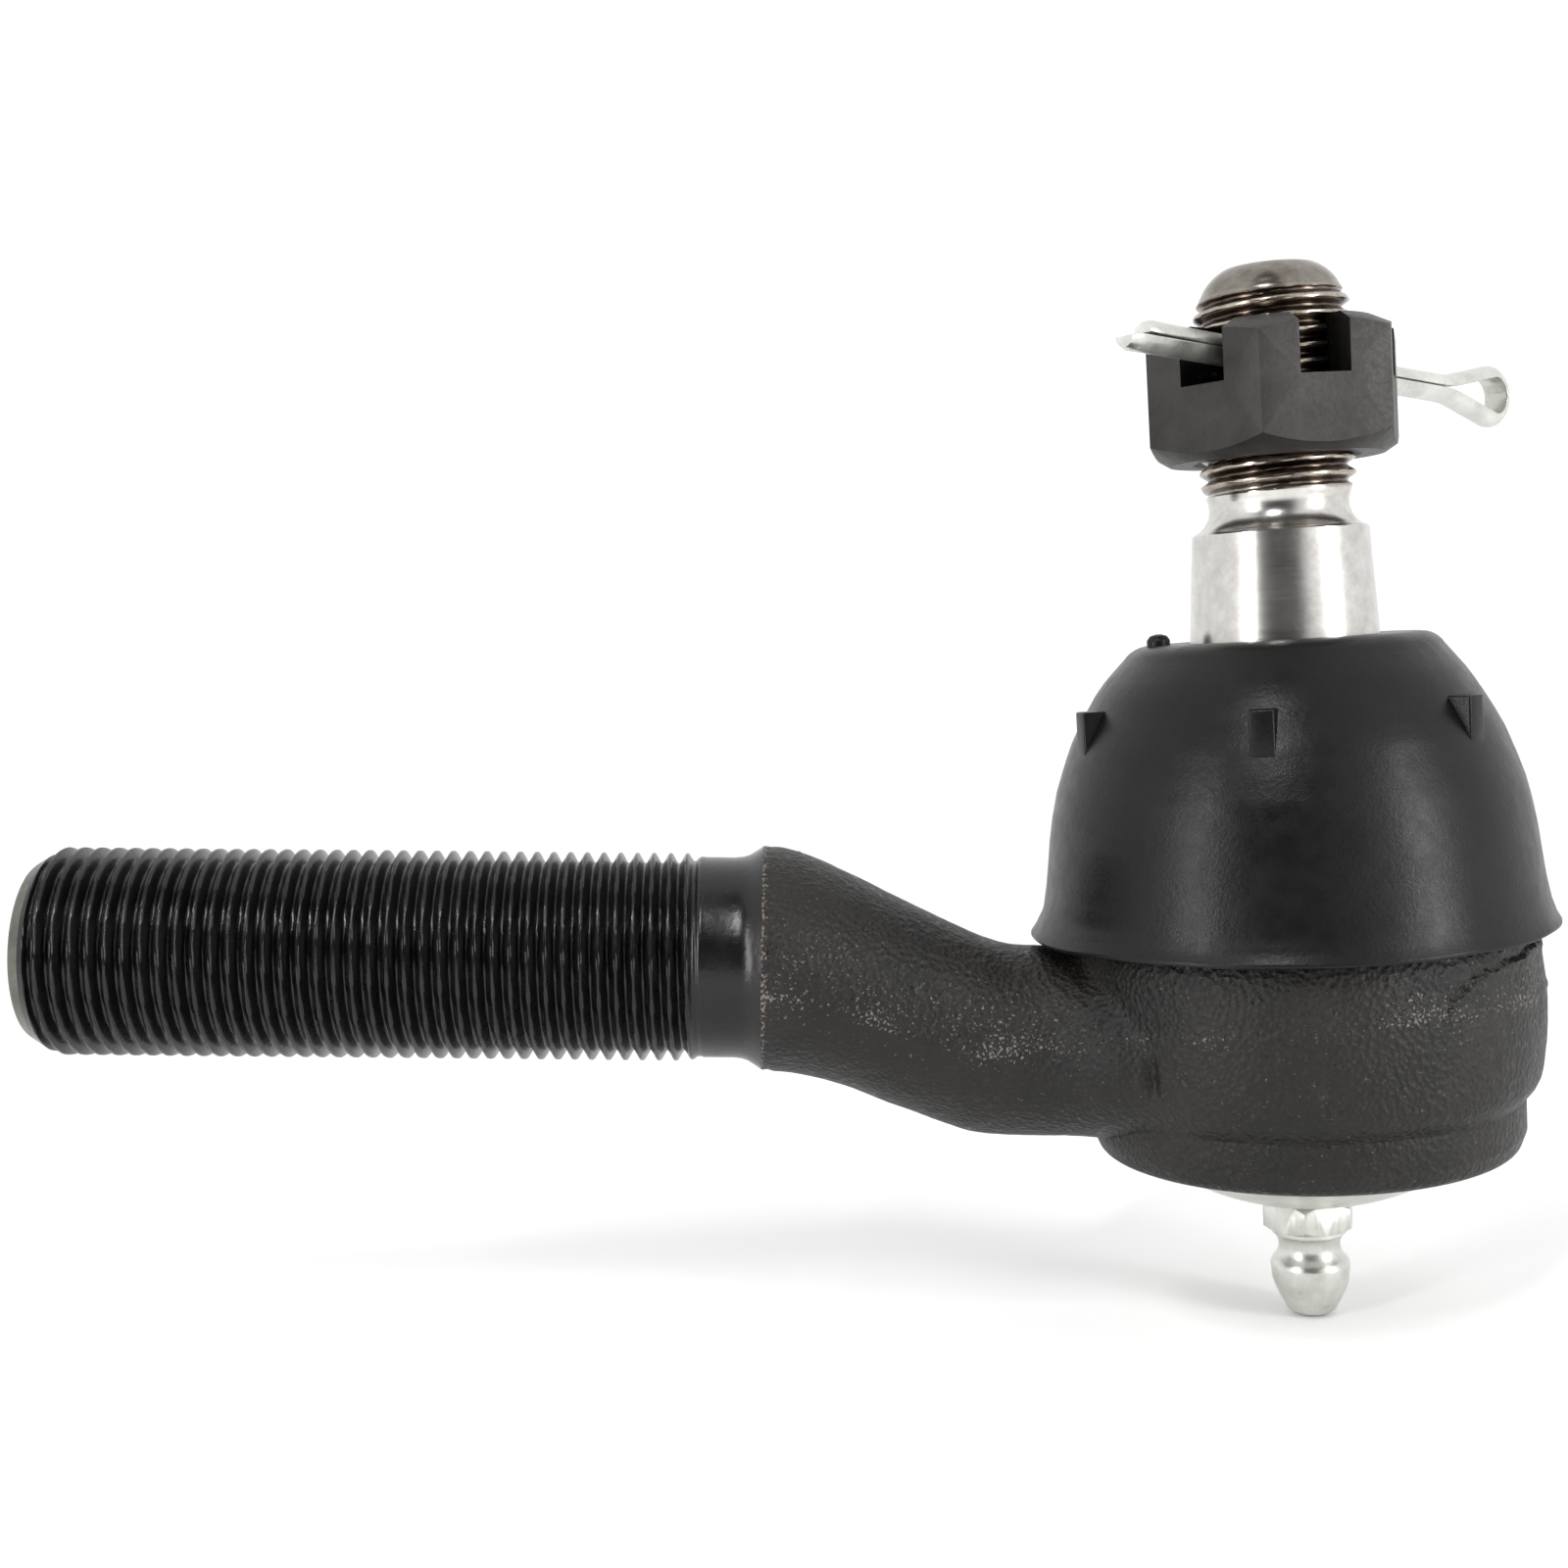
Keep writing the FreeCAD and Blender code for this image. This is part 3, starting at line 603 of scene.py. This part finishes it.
def boot_outline():
    """Outer skin up from the lip to the collar, then the inner skin back down."""
    heights, radii = zip(*BOOT_SKIN)
    levels = np.linspace(-23.2, -1.1, 60)
    outer = [(21.27, BOOT_LIP_Z), (21.28, BOOT_LIP_Z + 0.25)]
    outer += [(float(np.interp(z, heights[::-1], radii[::-1])), float(z)) for z in levels]
    outer += arc((12.95, -1.1), (12.2, -0.36), (11.0, 0.0), 6)
    top = [(9.6, 0.0), (8.3, 0.0), (TAPER_R0 + 0.12, -0.1), (TAPER_R0 + 0.06, -0.35), (TAPER_R0 + 0.2, -2.6)]
    inner = [(10.6, -2.7)] + arc((10.6, -2.7), (15.75, -8.9), (18.3, -19.8), 22)
    inner += [(19.4, -22.2), (19.55, -22.6), (19.55, -23.9), (19.75, BOOT_LIP_Z)]
    return outer + top + inner


def boot_warp(body):
    """The soft boot sits a little towards the shank, and its skin and lip are slightly uneven."""
    for vertex in body.data.vertices:
        x, y, z = (c / MM for c in vertex.co)
        turn = math.atan2(y, x)
        r = math.hypot(x, y)
        drop = float(fade(-z, 14, 24))
        wave = noise.noise(Vector((math.cos(turn) * 1.6, math.sin(turn) * 1.6, z / 14)))
        lip = noise.noise(Vector((math.cos(turn) * 2.6, math.sin(turn) * 2.6, 5.0)))
        swell = 0.08 * wave * float(fade(-z, 1, 6)) + 0.08 * lip * drop
        swell += 0.4 * math.exp(-((abs(turn) - 3.0) / 0.45) ** 2) * float(fade(-z, 21.5, 24))
        scale = (r + swell) / r
        shift = -0.45 * float(fade(r, 9.5, 15.5))
        vertex.co.x = (x * scale + shift) * MM
        vertex.co.y = y * scale * MM
        vertex.co.z += abs(lip) * 0.3 * drop ** 3 * MM


def dust_boot():
    body = turned("boot", softened(boot_outline(), 0.08), 180)
    for k in range(6):
        nub = prism("nub", [(15.6, -1.15), (NUB_R, -0.95), (NUB_R, 0.95), (15.6, 1.15)],
                    NUB_LOW_Z, NUB_TOP_Z)
        nub = bevelled(nub, 0.16, 30, 3)
        nub.data.transform(Matrix.Rotation(math.radians(NUB_START + 60 * k), 4, "Z"))
        body = combine(body, nub, "UNION")
    pip = [(0, -1.5), (0.9, -1.5), (0.9, 0.45), (0.66, 0.8), (0.25, 0.94), (0, 0.95)]
    pip = turned("pip", softened(pip, 0.1), 32)
    pip.data.transform(Matrix.Translation(Vector((*PIP_XY, 0)) * MM))
    body = combine(body, pip, "UNION")
    boot_warp(body)
    body.name = "umbrella_boot"
    return smooth(body, 38)


def cover():
    dome, inner, centre = 22.3, 20.8, -25.3    # outer and inner radius, and the height of their centre
    foot = math.sqrt(dome ** 2 - (centre - COVER_LOW_Z) ** 2)
    inner_foot = math.sqrt(inner ** 2 - (centre - COVER_TOP_Z) ** 2)
    hole = 3.1

    def at(r, radius):
        return (r, centre - math.sqrt(radius ** 2 - r ** 2))

    outline = [at(hole, dome)] + arc(at(hole, dome), at(8.5, dome), (foot, COVER_LOW_Z), 16)
    outline += [(15.93, COVER_LOW_Z), (15.93, COVER_TOP_Z), (inner_foot, COVER_TOP_Z)]
    outline += arc((inner_foot, COVER_TOP_Z), at(8.5, inner), at(hole, inner), 16)
    body = turned("cover_dome", softened(outline, 0.12), 128)
    return smooth(body, 30)


def grease_fitting():
    land = 0.4
    outline = [(0, -43.2), (3.1, -43.2), (3.1, -50.35)]
    outline += arc((3.1, -50.35), (2.55, -51.45), (3.0, -52.55), 10)
    outline += arc((3.0, -52.55), (3.22, -52.9), (FITTING_HEAD_R, FITTING_HEAD_Z + land), 5)
    outline += arc((FITTING_HEAD_R, FITTING_HEAD_Z - land), (3.05, -54.9), (2.25, FITTING_TIP_Z + 0.75), 6)
    outline += arc((2.25, FITTING_TIP_Z + 0.75), (1.95, FITTING_TIP_Z + 0.2), (1.3, FITTING_TIP_Z), 5)
    outline += [(0.85, FITTING_TIP_Z + 0.05), (0.75, FITTING_TIP_Z + 0.25), (0.75, FITTING_TIP_Z + 1.6),
                (1.45, FITTING_TIP_Z + 1.6), (1.45, -43.7), (0, -43.7)]
    shell = turned("grease_fitting", outline, 96)
    hexagon = prism("hexagon", hex_corners(FITTING_AF, FITTING_FIRST_FACE), -49.9, -47.5)
    limit = [(2.0, -50), (3.45, -50), (4.2, -49.4), (4.2, -48.0), (3.6, -47.4), (2.0, -47.4)]
    limit = turned("hex_limit", limit, 96)
    hexagon = bevelled(combine(hexagon, limit, "INTERSECT"), 0.1, 30, 2)
    body = cleaned(combine(shell, hexagon, "UNION"))
    return smooth(body, 35)


# ---- materials -----------------------------------------------------------------------------
def material(name, build):
    mat = bpy.data.materials.new(name)
    mat.use_nodes = True
    tree = mat.node_tree
    shader = tree.nodes["Principled BSDF"]
    build(tree, shader)
    return mat


def node(tree, kind, **values):
    made = tree.nodes.new(kind)
    for key, value in values.items():
        if key in made.inputs:
            made.inputs[key].default_value = value
        else:
            setattr(made, key, value)
    return made


def link(tree, source, output, target, socket):
    tree.links.new(source.outputs[output], target.inputs[socket])


def place(tree, scale=(1, 1, 1)):
    """Object coordinates in metres, stretched by the given scale."""
    where = node(tree, "ShaderNodeTexCoord")
    stretch = node(tree, "ShaderNodeMapping", Scale=scale)
    link(tree, where, "Object", stretch, "Vector")
    return stretch


def clouds(tree, where, scale, detail=4.0, roughness=0.6):
    made = node(tree, "ShaderNodeTexNoise", Scale=scale, Detail=detail, Roughness=roughness)
    link(tree, where, "Vector", made, "Vector")
    return made


def ramp(tree, source, output, stops):
    made = node(tree, "ShaderNodeValToRGB")
    elements = made.color_ramp.elements
    while len(elements) < len(stops):
        elements.new(0.5)
    for element, (position, colour) in zip(elements, stops):
        element.position = position
        value = colour if hasattr(colour, "__len__") else (colour, colour, colour)
        element.color = (*value, 1)
    link(tree, source, output, made, "Fac")
    return made


def bump(tree, shader, layers):
    """Stacks bump layers of (node, output, strength, distance in millimetres)."""
    before = None
    for source, output, strength, distance in layers:
        made = node(tree, "ShaderNodeBump", Strength=strength, Distance=distance * MM)
        link(tree, source, output, made, "Height")
        if before is not None:
            link(tree, before, "Normal", made, "Normal")
        before = made
    link(tree, before, "Normal", shader, "Normal")


def forged_paint(tree, shader):
    where = place(tree)
    broad = clouds(tree, where, 130, 5, 0.65)
    fine = clouds(tree, where, 1500, 4, 0.7)
    grit = node(tree, "ShaderNodeTexVoronoi", Scale=2100)
    link(tree, where, "Vector", grit, "Vector")
    ground = ramp(tree, broad, "Fac", [(0.30, (0.0042, 0.0038, 0.0034)), (0.72, (0.0125, 0.011, 0.0095))])
    # sparse bright specks painted into the colour as glints of the grainy paint
    grains = clouds(tree, where, 4200, 2, 0.5)
    glint_layer = node(tree, "ShaderNodeAttribute", attribute_name="painted_glints")
    reach = node(tree, "ShaderNodeMath", operation="MULTIPLY_ADD")
    reach.inputs[1].default_value = 0.24
    link(tree, glint_layer, "Fac", reach, 0)
    link(tree, grains, "Fac", reach, 2)
    speck = ramp(tree, reach, "Value", [(0.71, 0.0), (0.79, 1.0)])
    colour = node(tree, "ShaderNodeMix", data_type="RGBA")
    tree.links.new(speck.outputs["Color"], colour.inputs["Factor"])
    tree.links.new(ground.outputs["Color"], colour.inputs[6])
    colour.inputs[7].default_value = (0.15, 0.13, 0.115, 1)
    dull = ramp(tree, fine, "Fac", [(0.36, 0.52), (0.58, 0.46), (0.68, 0.2)])
    tree.links.new(colour.outputs[2], shader.inputs["Base Color"])
    link(tree, dull, "Color", shader, "Roughness")
    shader.inputs["Specular IOR Level"].default_value = 0.30
    bump(tree, shader, [(broad, "Fac", 0.5, 0.25), (fine, "Fac", 0.9, 0.12), (grit, "Distance", 0.9, 0.13)])


def thread_paint(tree, shader):
    where = place(tree)
    fine = clouds(tree, where, 2200, 3, 0.6)
    broad = clouds(tree, where, 260, 4, 0.6)
    colour = ramp(tree, broad, "Fac", [(0.3, (0.0012, 0.0011, 0.0012)), (0.75, (0.0038, 0.0033, 0.0034))])
    rough = ramp(tree, broad, "Fac", [(0.3, 0.20), (0.75, 0.33)])
    link(tree, colour, "Color", shader, "Base Color")
    link(tree, rough, "Color", shader, "Roughness")
    shader.inputs["Specular IOR Level"].default_value = 0.38
    bump(tree, shader, [(fine, "Fac", 0.5, 0.05), (broad, "Fac", 0.3, 0.06)])


def bare_end(tree, shader):
    where = place(tree)
    broad = clouds(tree, where, 420, 5, 0.65)
    rings = clouds(tree, place(tree, (1, 1, 1)), 2600, 3, 0.6)
    colour = ramp(tree, broad, "Fac", [(0.3, (0.055, 0.058, 0.045)), (0.7, (0.125, 0.13, 0.105))])
    rough = ramp(tree, rings, "Fac", [(0.3, 0.32), (0.7, 0.5)])
    link(tree, colour, "Color", shader, "Base Color")
    link(tree, rough, "Color", shader, "Roughness")
    shader.inputs["Metallic"].default_value = 0.6
    bump(tree, shader, [(rings, "Fac", 0.3, 0.05)])


def boot_rubber(tree, shader):
    where = place(tree)
    broad = clouds(tree, where, 90, 4, 0.6)
    grain = clouds(tree, where, 3400, 3, 0.7)
    dust = clouds(tree, where, 600, 5, 0.7)
    colour = ramp(tree, broad, "Fac", [(0.3, (0.0030, 0.0029, 0.0029)), (0.75, (0.0075, 0.0070, 0.0066))])
    rough = ramp(tree, dust, "Fac", [(0.3, 0.27), (0.7, 0.40)])
    link(tree, colour, "Color", shader, "Base Color")
    link(tree, rough, "Color", shader, "Roughness")
    shader.inputs["Specular IOR Level"].default_value = 0.22
    bump(tree, shader, [(broad, "Fac", 0.25, 0.4), (grain, "Fac", 0.5, 0.05), (dust, "Fac", 0.3, 0.06)])


def turned_steel(tree, shader):
    """Bright steel with fine rings round the stud's axis; browner thread, its roots darkened with painted shade so
    the crests stay bright.
    """
    stretched = clouds(tree, place(tree, (90, 90, 16000)), 1.0, 3, 0.6)
    spots = clouds(tree, place(tree), 700, 5, 0.65)
    where = node(tree, "ShaderNodeTexCoord")
    split = node(tree, "ShaderNodeSeparateXYZ")
    link(tree, where, "Object", split, "Vector")

    def over(output, low, high):
        made = node(tree, "ShaderNodeMapRange")
        made.inputs["From Min"].default_value = low * MM
        made.inputs["From Max"].default_value = high * MM
        tree.links.new(output, made.inputs["Value"])
        return made

    flat = node(tree, "ShaderNodeVectorMath", operation="MULTIPLY")
    flat.inputs[1].default_value = (1, 1, 0)
    link(tree, where, "Object", flat, 0)
    radius = node(tree, "ShaderNodeVectorMath", operation="LENGTH")
    tree.links.new(flat.outputs[0], radius.inputs[0])
    groove = over(radius.outputs["Value"], 6.22, 5.95)
    thread = over(split.outputs["Z"], 11.9, 12.5)
    below_tip = over(split.outputs["Z"], 28.2, 27.7)
    tip = over(split.outputs["Z"], 27.7, 28.2)
    cut = node(tree, "ShaderNodeMath", operation="MULTIPLY")
    link(tree, thread, "Result", cut, 0)
    link(tree, below_tip, "Result", cut, 1)
    # painted shade: within the thread, the roots below the crest radius are darkened
    root_shade = node(tree, "ShaderNodeMath", operation="MULTIPLY")
    link(tree, cut, "Value", root_shade, 0)
    link(tree, groove, "Result", root_shade, 1)
    bright = ramp(tree, spots, "Fac", [(0.3, (0.48, 0.465, 0.44)), (0.7, (0.64, 0.625, 0.60))])
    crest = ramp(tree, spots, "Fac", [(0.3, (0.24, 0.20, 0.165)), (0.7, (0.52, 0.47, 0.41))])
    dark = ramp(tree, spots, "Fac", [(0.3, (0.045, 0.034, 0.027)), (0.7, (0.13, 0.10, 0.08))])
    worn = ramp(tree, spots, "Fac", [(0.3, (0.15, 0.135, 0.115)), (0.7, (0.27, 0.25, 0.22))])
    colour = bright.outputs["Color"]
    for factor, other in ((cut.outputs["Value"], crest), (root_shade.outputs["Value"], dark),
                          (tip.outputs["Result"], worn)):
        mix = node(tree, "ShaderNodeMix", data_type="RGBA")
        tree.links.new(factor, mix.inputs["Factor"])
        tree.links.new(colour, mix.inputs[6])
        tree.links.new(other.outputs["Color"], mix.inputs[7])
        colour = mix.outputs[2]
    tree.links.new(colour, shader.inputs["Base Color"])
    rough = ramp(tree, stretched, "Fac", [(0.3, 0.20), (0.7, 0.27)])
    link(tree, rough, "Color", shader, "Roughness")
    shader.inputs["Metallic"].default_value = 1.0
    bump(tree, shader, [(stretched, "Fac", 0.12, 0.012), (spots, "Fac", 0.08, 0.03)])


def phosphate(tree, shader):
    where = place(tree)
    broad = clouds(tree, where, 300, 5, 0.7)
    grain = clouds(tree, where, 2600, 4, 0.75)
    colour = ramp(tree, broad, "Fac", [(0.3, (0.010, 0.0092, 0.008)), (0.72, (0.030, 0.0275, 0.024))])
    rough = ramp(tree, grain, "Fac", [(0.3, 0.38), (0.7, 0.58)])
    link(tree, colour, "Color", shader, "Base Color")
    link(tree, rough, "Color", shader, "Roughness")
    shader.inputs["Metallic"].default_value = 0.35
    bump(tree, shader, [(grain, "Fac", 0.5, 0.05), (broad, "Fac", 0.3, 0.08)])


# near-black painted shade, used on the nut's slots and bore and on the boot's underside and inside
def painted_shade_black(tree, shader):
    where = place(tree)
    broad = clouds(tree, where, 400, 4, 0.6)
    colour = ramp(tree, broad, "Fac", [(0.3, (0.0015, 0.0014, 0.0013)), (0.7, (0.004, 0.0037, 0.0033))])
    rough = ramp(tree, broad, "Fac", [(0.3, 0.45), (0.7, 0.6)])
    link(tree, colour, "Color", shader, "Base Color")
    link(tree, rough, "Color", shader, "Roughness")
    shader.inputs["Specular IOR Level"].default_value = 0.12
    bump(tree, shader, [(broad, "Fac", 0.3, 0.05)])


def zinc(tree, shader):
    where = place(tree)
    broad = clouds(tree, where, 350, 5, 0.65)
    grain = clouds(tree, where, 2400, 3, 0.6)
    colour = ramp(tree, broad, "Fac", [(0.3, (0.48, 0.485, 0.45)), (0.7, (0.70, 0.70, 0.66))])
    rough = ramp(tree, broad, "Fac", [(0.3, 0.24), (0.7, 0.40)])
    link(tree, colour, "Color", shader, "Base Color")
    link(tree, rough, "Color", shader, "Roughness")
    shader.inputs["Metallic"].default_value = 0.9
    bump(tree, shader, [(grain, "Fac", 0.2, 0.03), (broad, "Fac", 0.2, 0.06)])


def ground_steel(tree, shader):
    where = place(tree)
    fine = clouds(tree, place(tree, (80, 80, 3000)), 1.0, 3, 0.6)
    film = clouds(tree, where, 260, 4, 0.6)
    colour = ramp(tree, film, "Fac", [(0.3, (0.34, 0.32, 0.29)), (0.7, (0.52, 0.50, 0.46))])
    rough = ramp(tree, film, "Fac", [(0.3, 0.18), (0.7, 0.34)])
    link(tree, colour, "Color", shader, "Base Color")
    link(tree, rough, "Color", shader, "Roughness")
    shader.inputs["Metallic"].default_value = 1.0
    bump(tree, shader, [(fine, "Fac", 0.2, 0.02)])


def spring_wire(tree, shader):
    where = place(tree)
    scale = clouds(tree, where, 900, 4, 0.65)
    colour = ramp(tree, scale, "Fac", [(0.3, (0.10, 0.095, 0.09)), (0.7, (0.22, 0.21, 0.20))])
    rough = ramp(tree, scale, "Fac", [(0.3, 0.28), (0.7, 0.45)])
    link(tree, colour, "Color", shader, "Base Color")
    link(tree, rough, "Color", shader, "Roughness")
    shader.inputs["Metallic"].default_value = 1.0
    bump(tree, shader, [(scale, "Fac", 0.3, 0.03)])


def floor_white(tree, shader):
    """White paper that fades into the room's white away from the object."""
    shader.inputs["Base Color"].default_value = (0.95, 0.95, 0.95, 1)
    shader.inputs["Roughness"].default_value = 0.9
    where = node(tree, "ShaderNodeTexCoord")
    reach = node(tree, "ShaderNodeVectorMath", operation="LENGTH")
    link(tree, where, "Object", reach, 0)
    fading = ramp(tree, reach, "Value", [(0.18, 1.0), (0.75, 0.0)])
    link(tree, fading, "Color", shader, "Alpha")


# ---- build ---------------------------------------------------------------------------------
LOOKS = {name: material(name, build) for name, build in (
    ("forged_paint", forged_paint), ("thread_paint", thread_paint), ("bare_end", bare_end),
    ("boot_rubber", boot_rubber), ("turned_steel", turned_steel), ("phosphate", phosphate),
    ("painted_shade_black", painted_shade_black), ("zinc", zinc), ("ground_steel", ground_steel), ("spring_wire", spring_wire))}


def dress(obj, *looks):
    obj.data.materials.clear()
    for look in looks:
        obj.data.materials.append(LOOKS[look])


def add(piece, body, replaced, slot_name, *looks):
    dress(piece, *looks)
    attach(piece, body)
    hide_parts(replaced)
    return piece


def paint_forging(piece):
    """Faces of the turned shank get the glossy paint, and the chamfered end is bare."""
    axis, foot = shank_line()
    for face in piece.data.polygons:
        along = (face.center - foot).dot(axis) / MM
        radius = ((face.center - foot) - axis * (along * MM)).length / MM
        if along > SHANK_END - 1.5 and radius < SHANK_END_R + 0.62:
            face.material_index = 2
        elif along > SHANK_SHOULDER + 0.05 and radius < 10:
            face.material_index = 1
        else:
            face.material_index = 0


forging = add(socket_forging(), "housing", "socket_forging", "forging_paint",
              "forged_paint", "thread_paint", "bare_end")
paint_forging(forging)
add(stud(), "stud", "ball_stud", "stud_steel", "turned_steel")
shade_nut_slots(add(nut(), "stud", "slotted_nut", "nut_phosphate", "phosphate", "painted_shade_black"))
add(cotter_pin(), "stud", "cotter_pin", "zinc_plate", "zinc")
add(cover(), "housing", "cover_plate", "zinc_plate", "zinc")
add(grease_fitting(), "housing", "grease_fitting_body", "zinc_plate", "zinc")

boot = dust_boot()
dress(boot, "boot_rubber", "painted_shade_black")
# painted shade: downward faces low on the boot and the boot's inside get the near-black material
for face in boot.data.polygons:
    under = face.normal.z < -0.75 and face.center.z < -0.023
    inside = face.normal.x * face.center.x + face.normal.y * face.center.y < 0 and face.center.z < -0.0026
    face.material_index = 1 if under or inside else 0
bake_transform(boot)
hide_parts("dust_boot")

for name, look in (("half_ball_bearing", "ground_steel"), ("lower_seat", "ground_steel"),
                   ("grease_fitting_check_ball", "ground_steel"), ("preload_spring", "spring_wire"),
                   ("grease_fitting_spring", "spring_wire")):
    inner = frame["nodes"][name]
    inner.data.materials.clear()
    inner.data.materials.append(LOOKS[look])


# ---- floor, light and camera ---------------------------------------------------------------
WEDGE_AZIMUTH = 22
ROOM = [(0.72, (1.0, 1.0, 1.0)), (0.88, (0.09, 0.09, 0.095)), (1.0, (0.03, 0.03, 0.033))]


def studio():
    low = cad_box[0].z - 0.0002
    bpy.ops.mesh.primitive_plane_add(size=3, location=(0, 0, low))
    floor = bpy.context.object
    floor.name = "floor"
    floor.data.materials.append(material("floor_white", floor_white))

    world = bpy.data.worlds.new("studio")
    bpy.context.scene.world = world
    world.use_nodes = True
    tree = world.node_tree
    shade = tree.nodes["Background"]
    # a white room with an unlit wedge in front of the object
    where = node(tree, "ShaderNodeTexCoord")
    level = node(tree, "ShaderNodeVectorMath", operation="MULTIPLY")
    level.inputs[1].default_value = (1, 1, 0)
    unit = node(tree, "ShaderNodeVectorMath", operation="NORMALIZE")
    facing = node(tree, "ShaderNodeVectorMath", operation="DOT_PRODUCT")
    wedge = math.radians(WEDGE_AZIMUTH)
    facing.inputs[1].default_value = (-math.sin(wedge), -math.cos(wedge), 0)
    link(tree, where, "Generated", level, 0)
    tree.links.new(level.outputs[0], unit.inputs[0])
    tree.links.new(unit.outputs[0], facing.inputs[0])
    light = ramp(tree, facing, "Value", ROOM)
    # the wedge lights the object, but the backdrop itself stays white
    path = node(tree, "ShaderNodeLightPath")
    backdrop = node(tree, "ShaderNodeMix", data_type="RGBA")
    link(tree, path, "Is Camera Ray", backdrop, "Factor")
    tree.links.new(light.outputs["Color"], backdrop.inputs[6])
    backdrop.inputs[7].default_value = (1, 1, 1, 1)
    tree.links.new(backdrop.outputs[2], shade.inputs["Color"])
    shade.inputs["Strength"].default_value = 1.15

    def lamp(name, azimuth, elevation, distance, size, power, aim=(0, 0, -0.02)):
        """Azimuth is from the front (-Y) towards -X, in degrees."""
        a, e = math.radians(azimuth), math.radians(elevation)
        away = Vector((-math.sin(a) * math.cos(e), -math.cos(a) * math.cos(e), math.sin(e)))
        data = bpy.data.lights.new(name, "AREA")
        data.shape = "RECTANGLE"
        data.size, data.size_y = size
        data.energy = power
        obj = bpy.data.objects.new(name, data)
        obj.location = Vector(aim) + away * distance
        obj.rotation_euler = away.to_track_quat("Z", "Y").to_euler()
        bpy.context.scene.collection.objects.link(obj)

    lamp("left_strip", 55, 5, 0.45, (0.05, 0.45), 1.3)
    lamp("right_strip", -50, 5, 0.45, (0.07, 0.45), 1.6)
    lamp("overhead", 14, 50, 0.5, (0.03, 0.16), 1.0, (-0.06, 0, -0.03))


def camera():
    """Stands at the height of the boot's top, looks 4.3 degrees down, and leans 3.5 degrees."""
    lean, pitch, slope = (math.radians(a) for a in (3.5, 4.3, 0.55))
    up = Vector((-math.sin(lean) * math.cos(pitch), math.cos(lean) * math.cos(pitch), math.sin(pitch)))
    shank = Vector((-math.cos(slope), math.sin(slope), 0))
    across = -(shank - up * shank.dot(up)).normalized()
    turn = Matrix((across, up.cross(across), up))
    origin = Vector((0.04165, 0.01217, -0.16323))
    data = bpy.data.cameras.new("camera")
    data.lens = 45
    data.sensor_width = 36
    data.clip_start = 0.01
    obj = bpy.data.objects.new("camera", data)
    obj.matrix_world = Matrix.Translation(-(turn @ origin)) @ turn.to_4x4()
    bpy.context.scene.collection.objects.link(obj)
    bpy.context.scene.camera = obj


studio()
camera()
bpy.context.scene.view_settings.view_transform = "Standard"
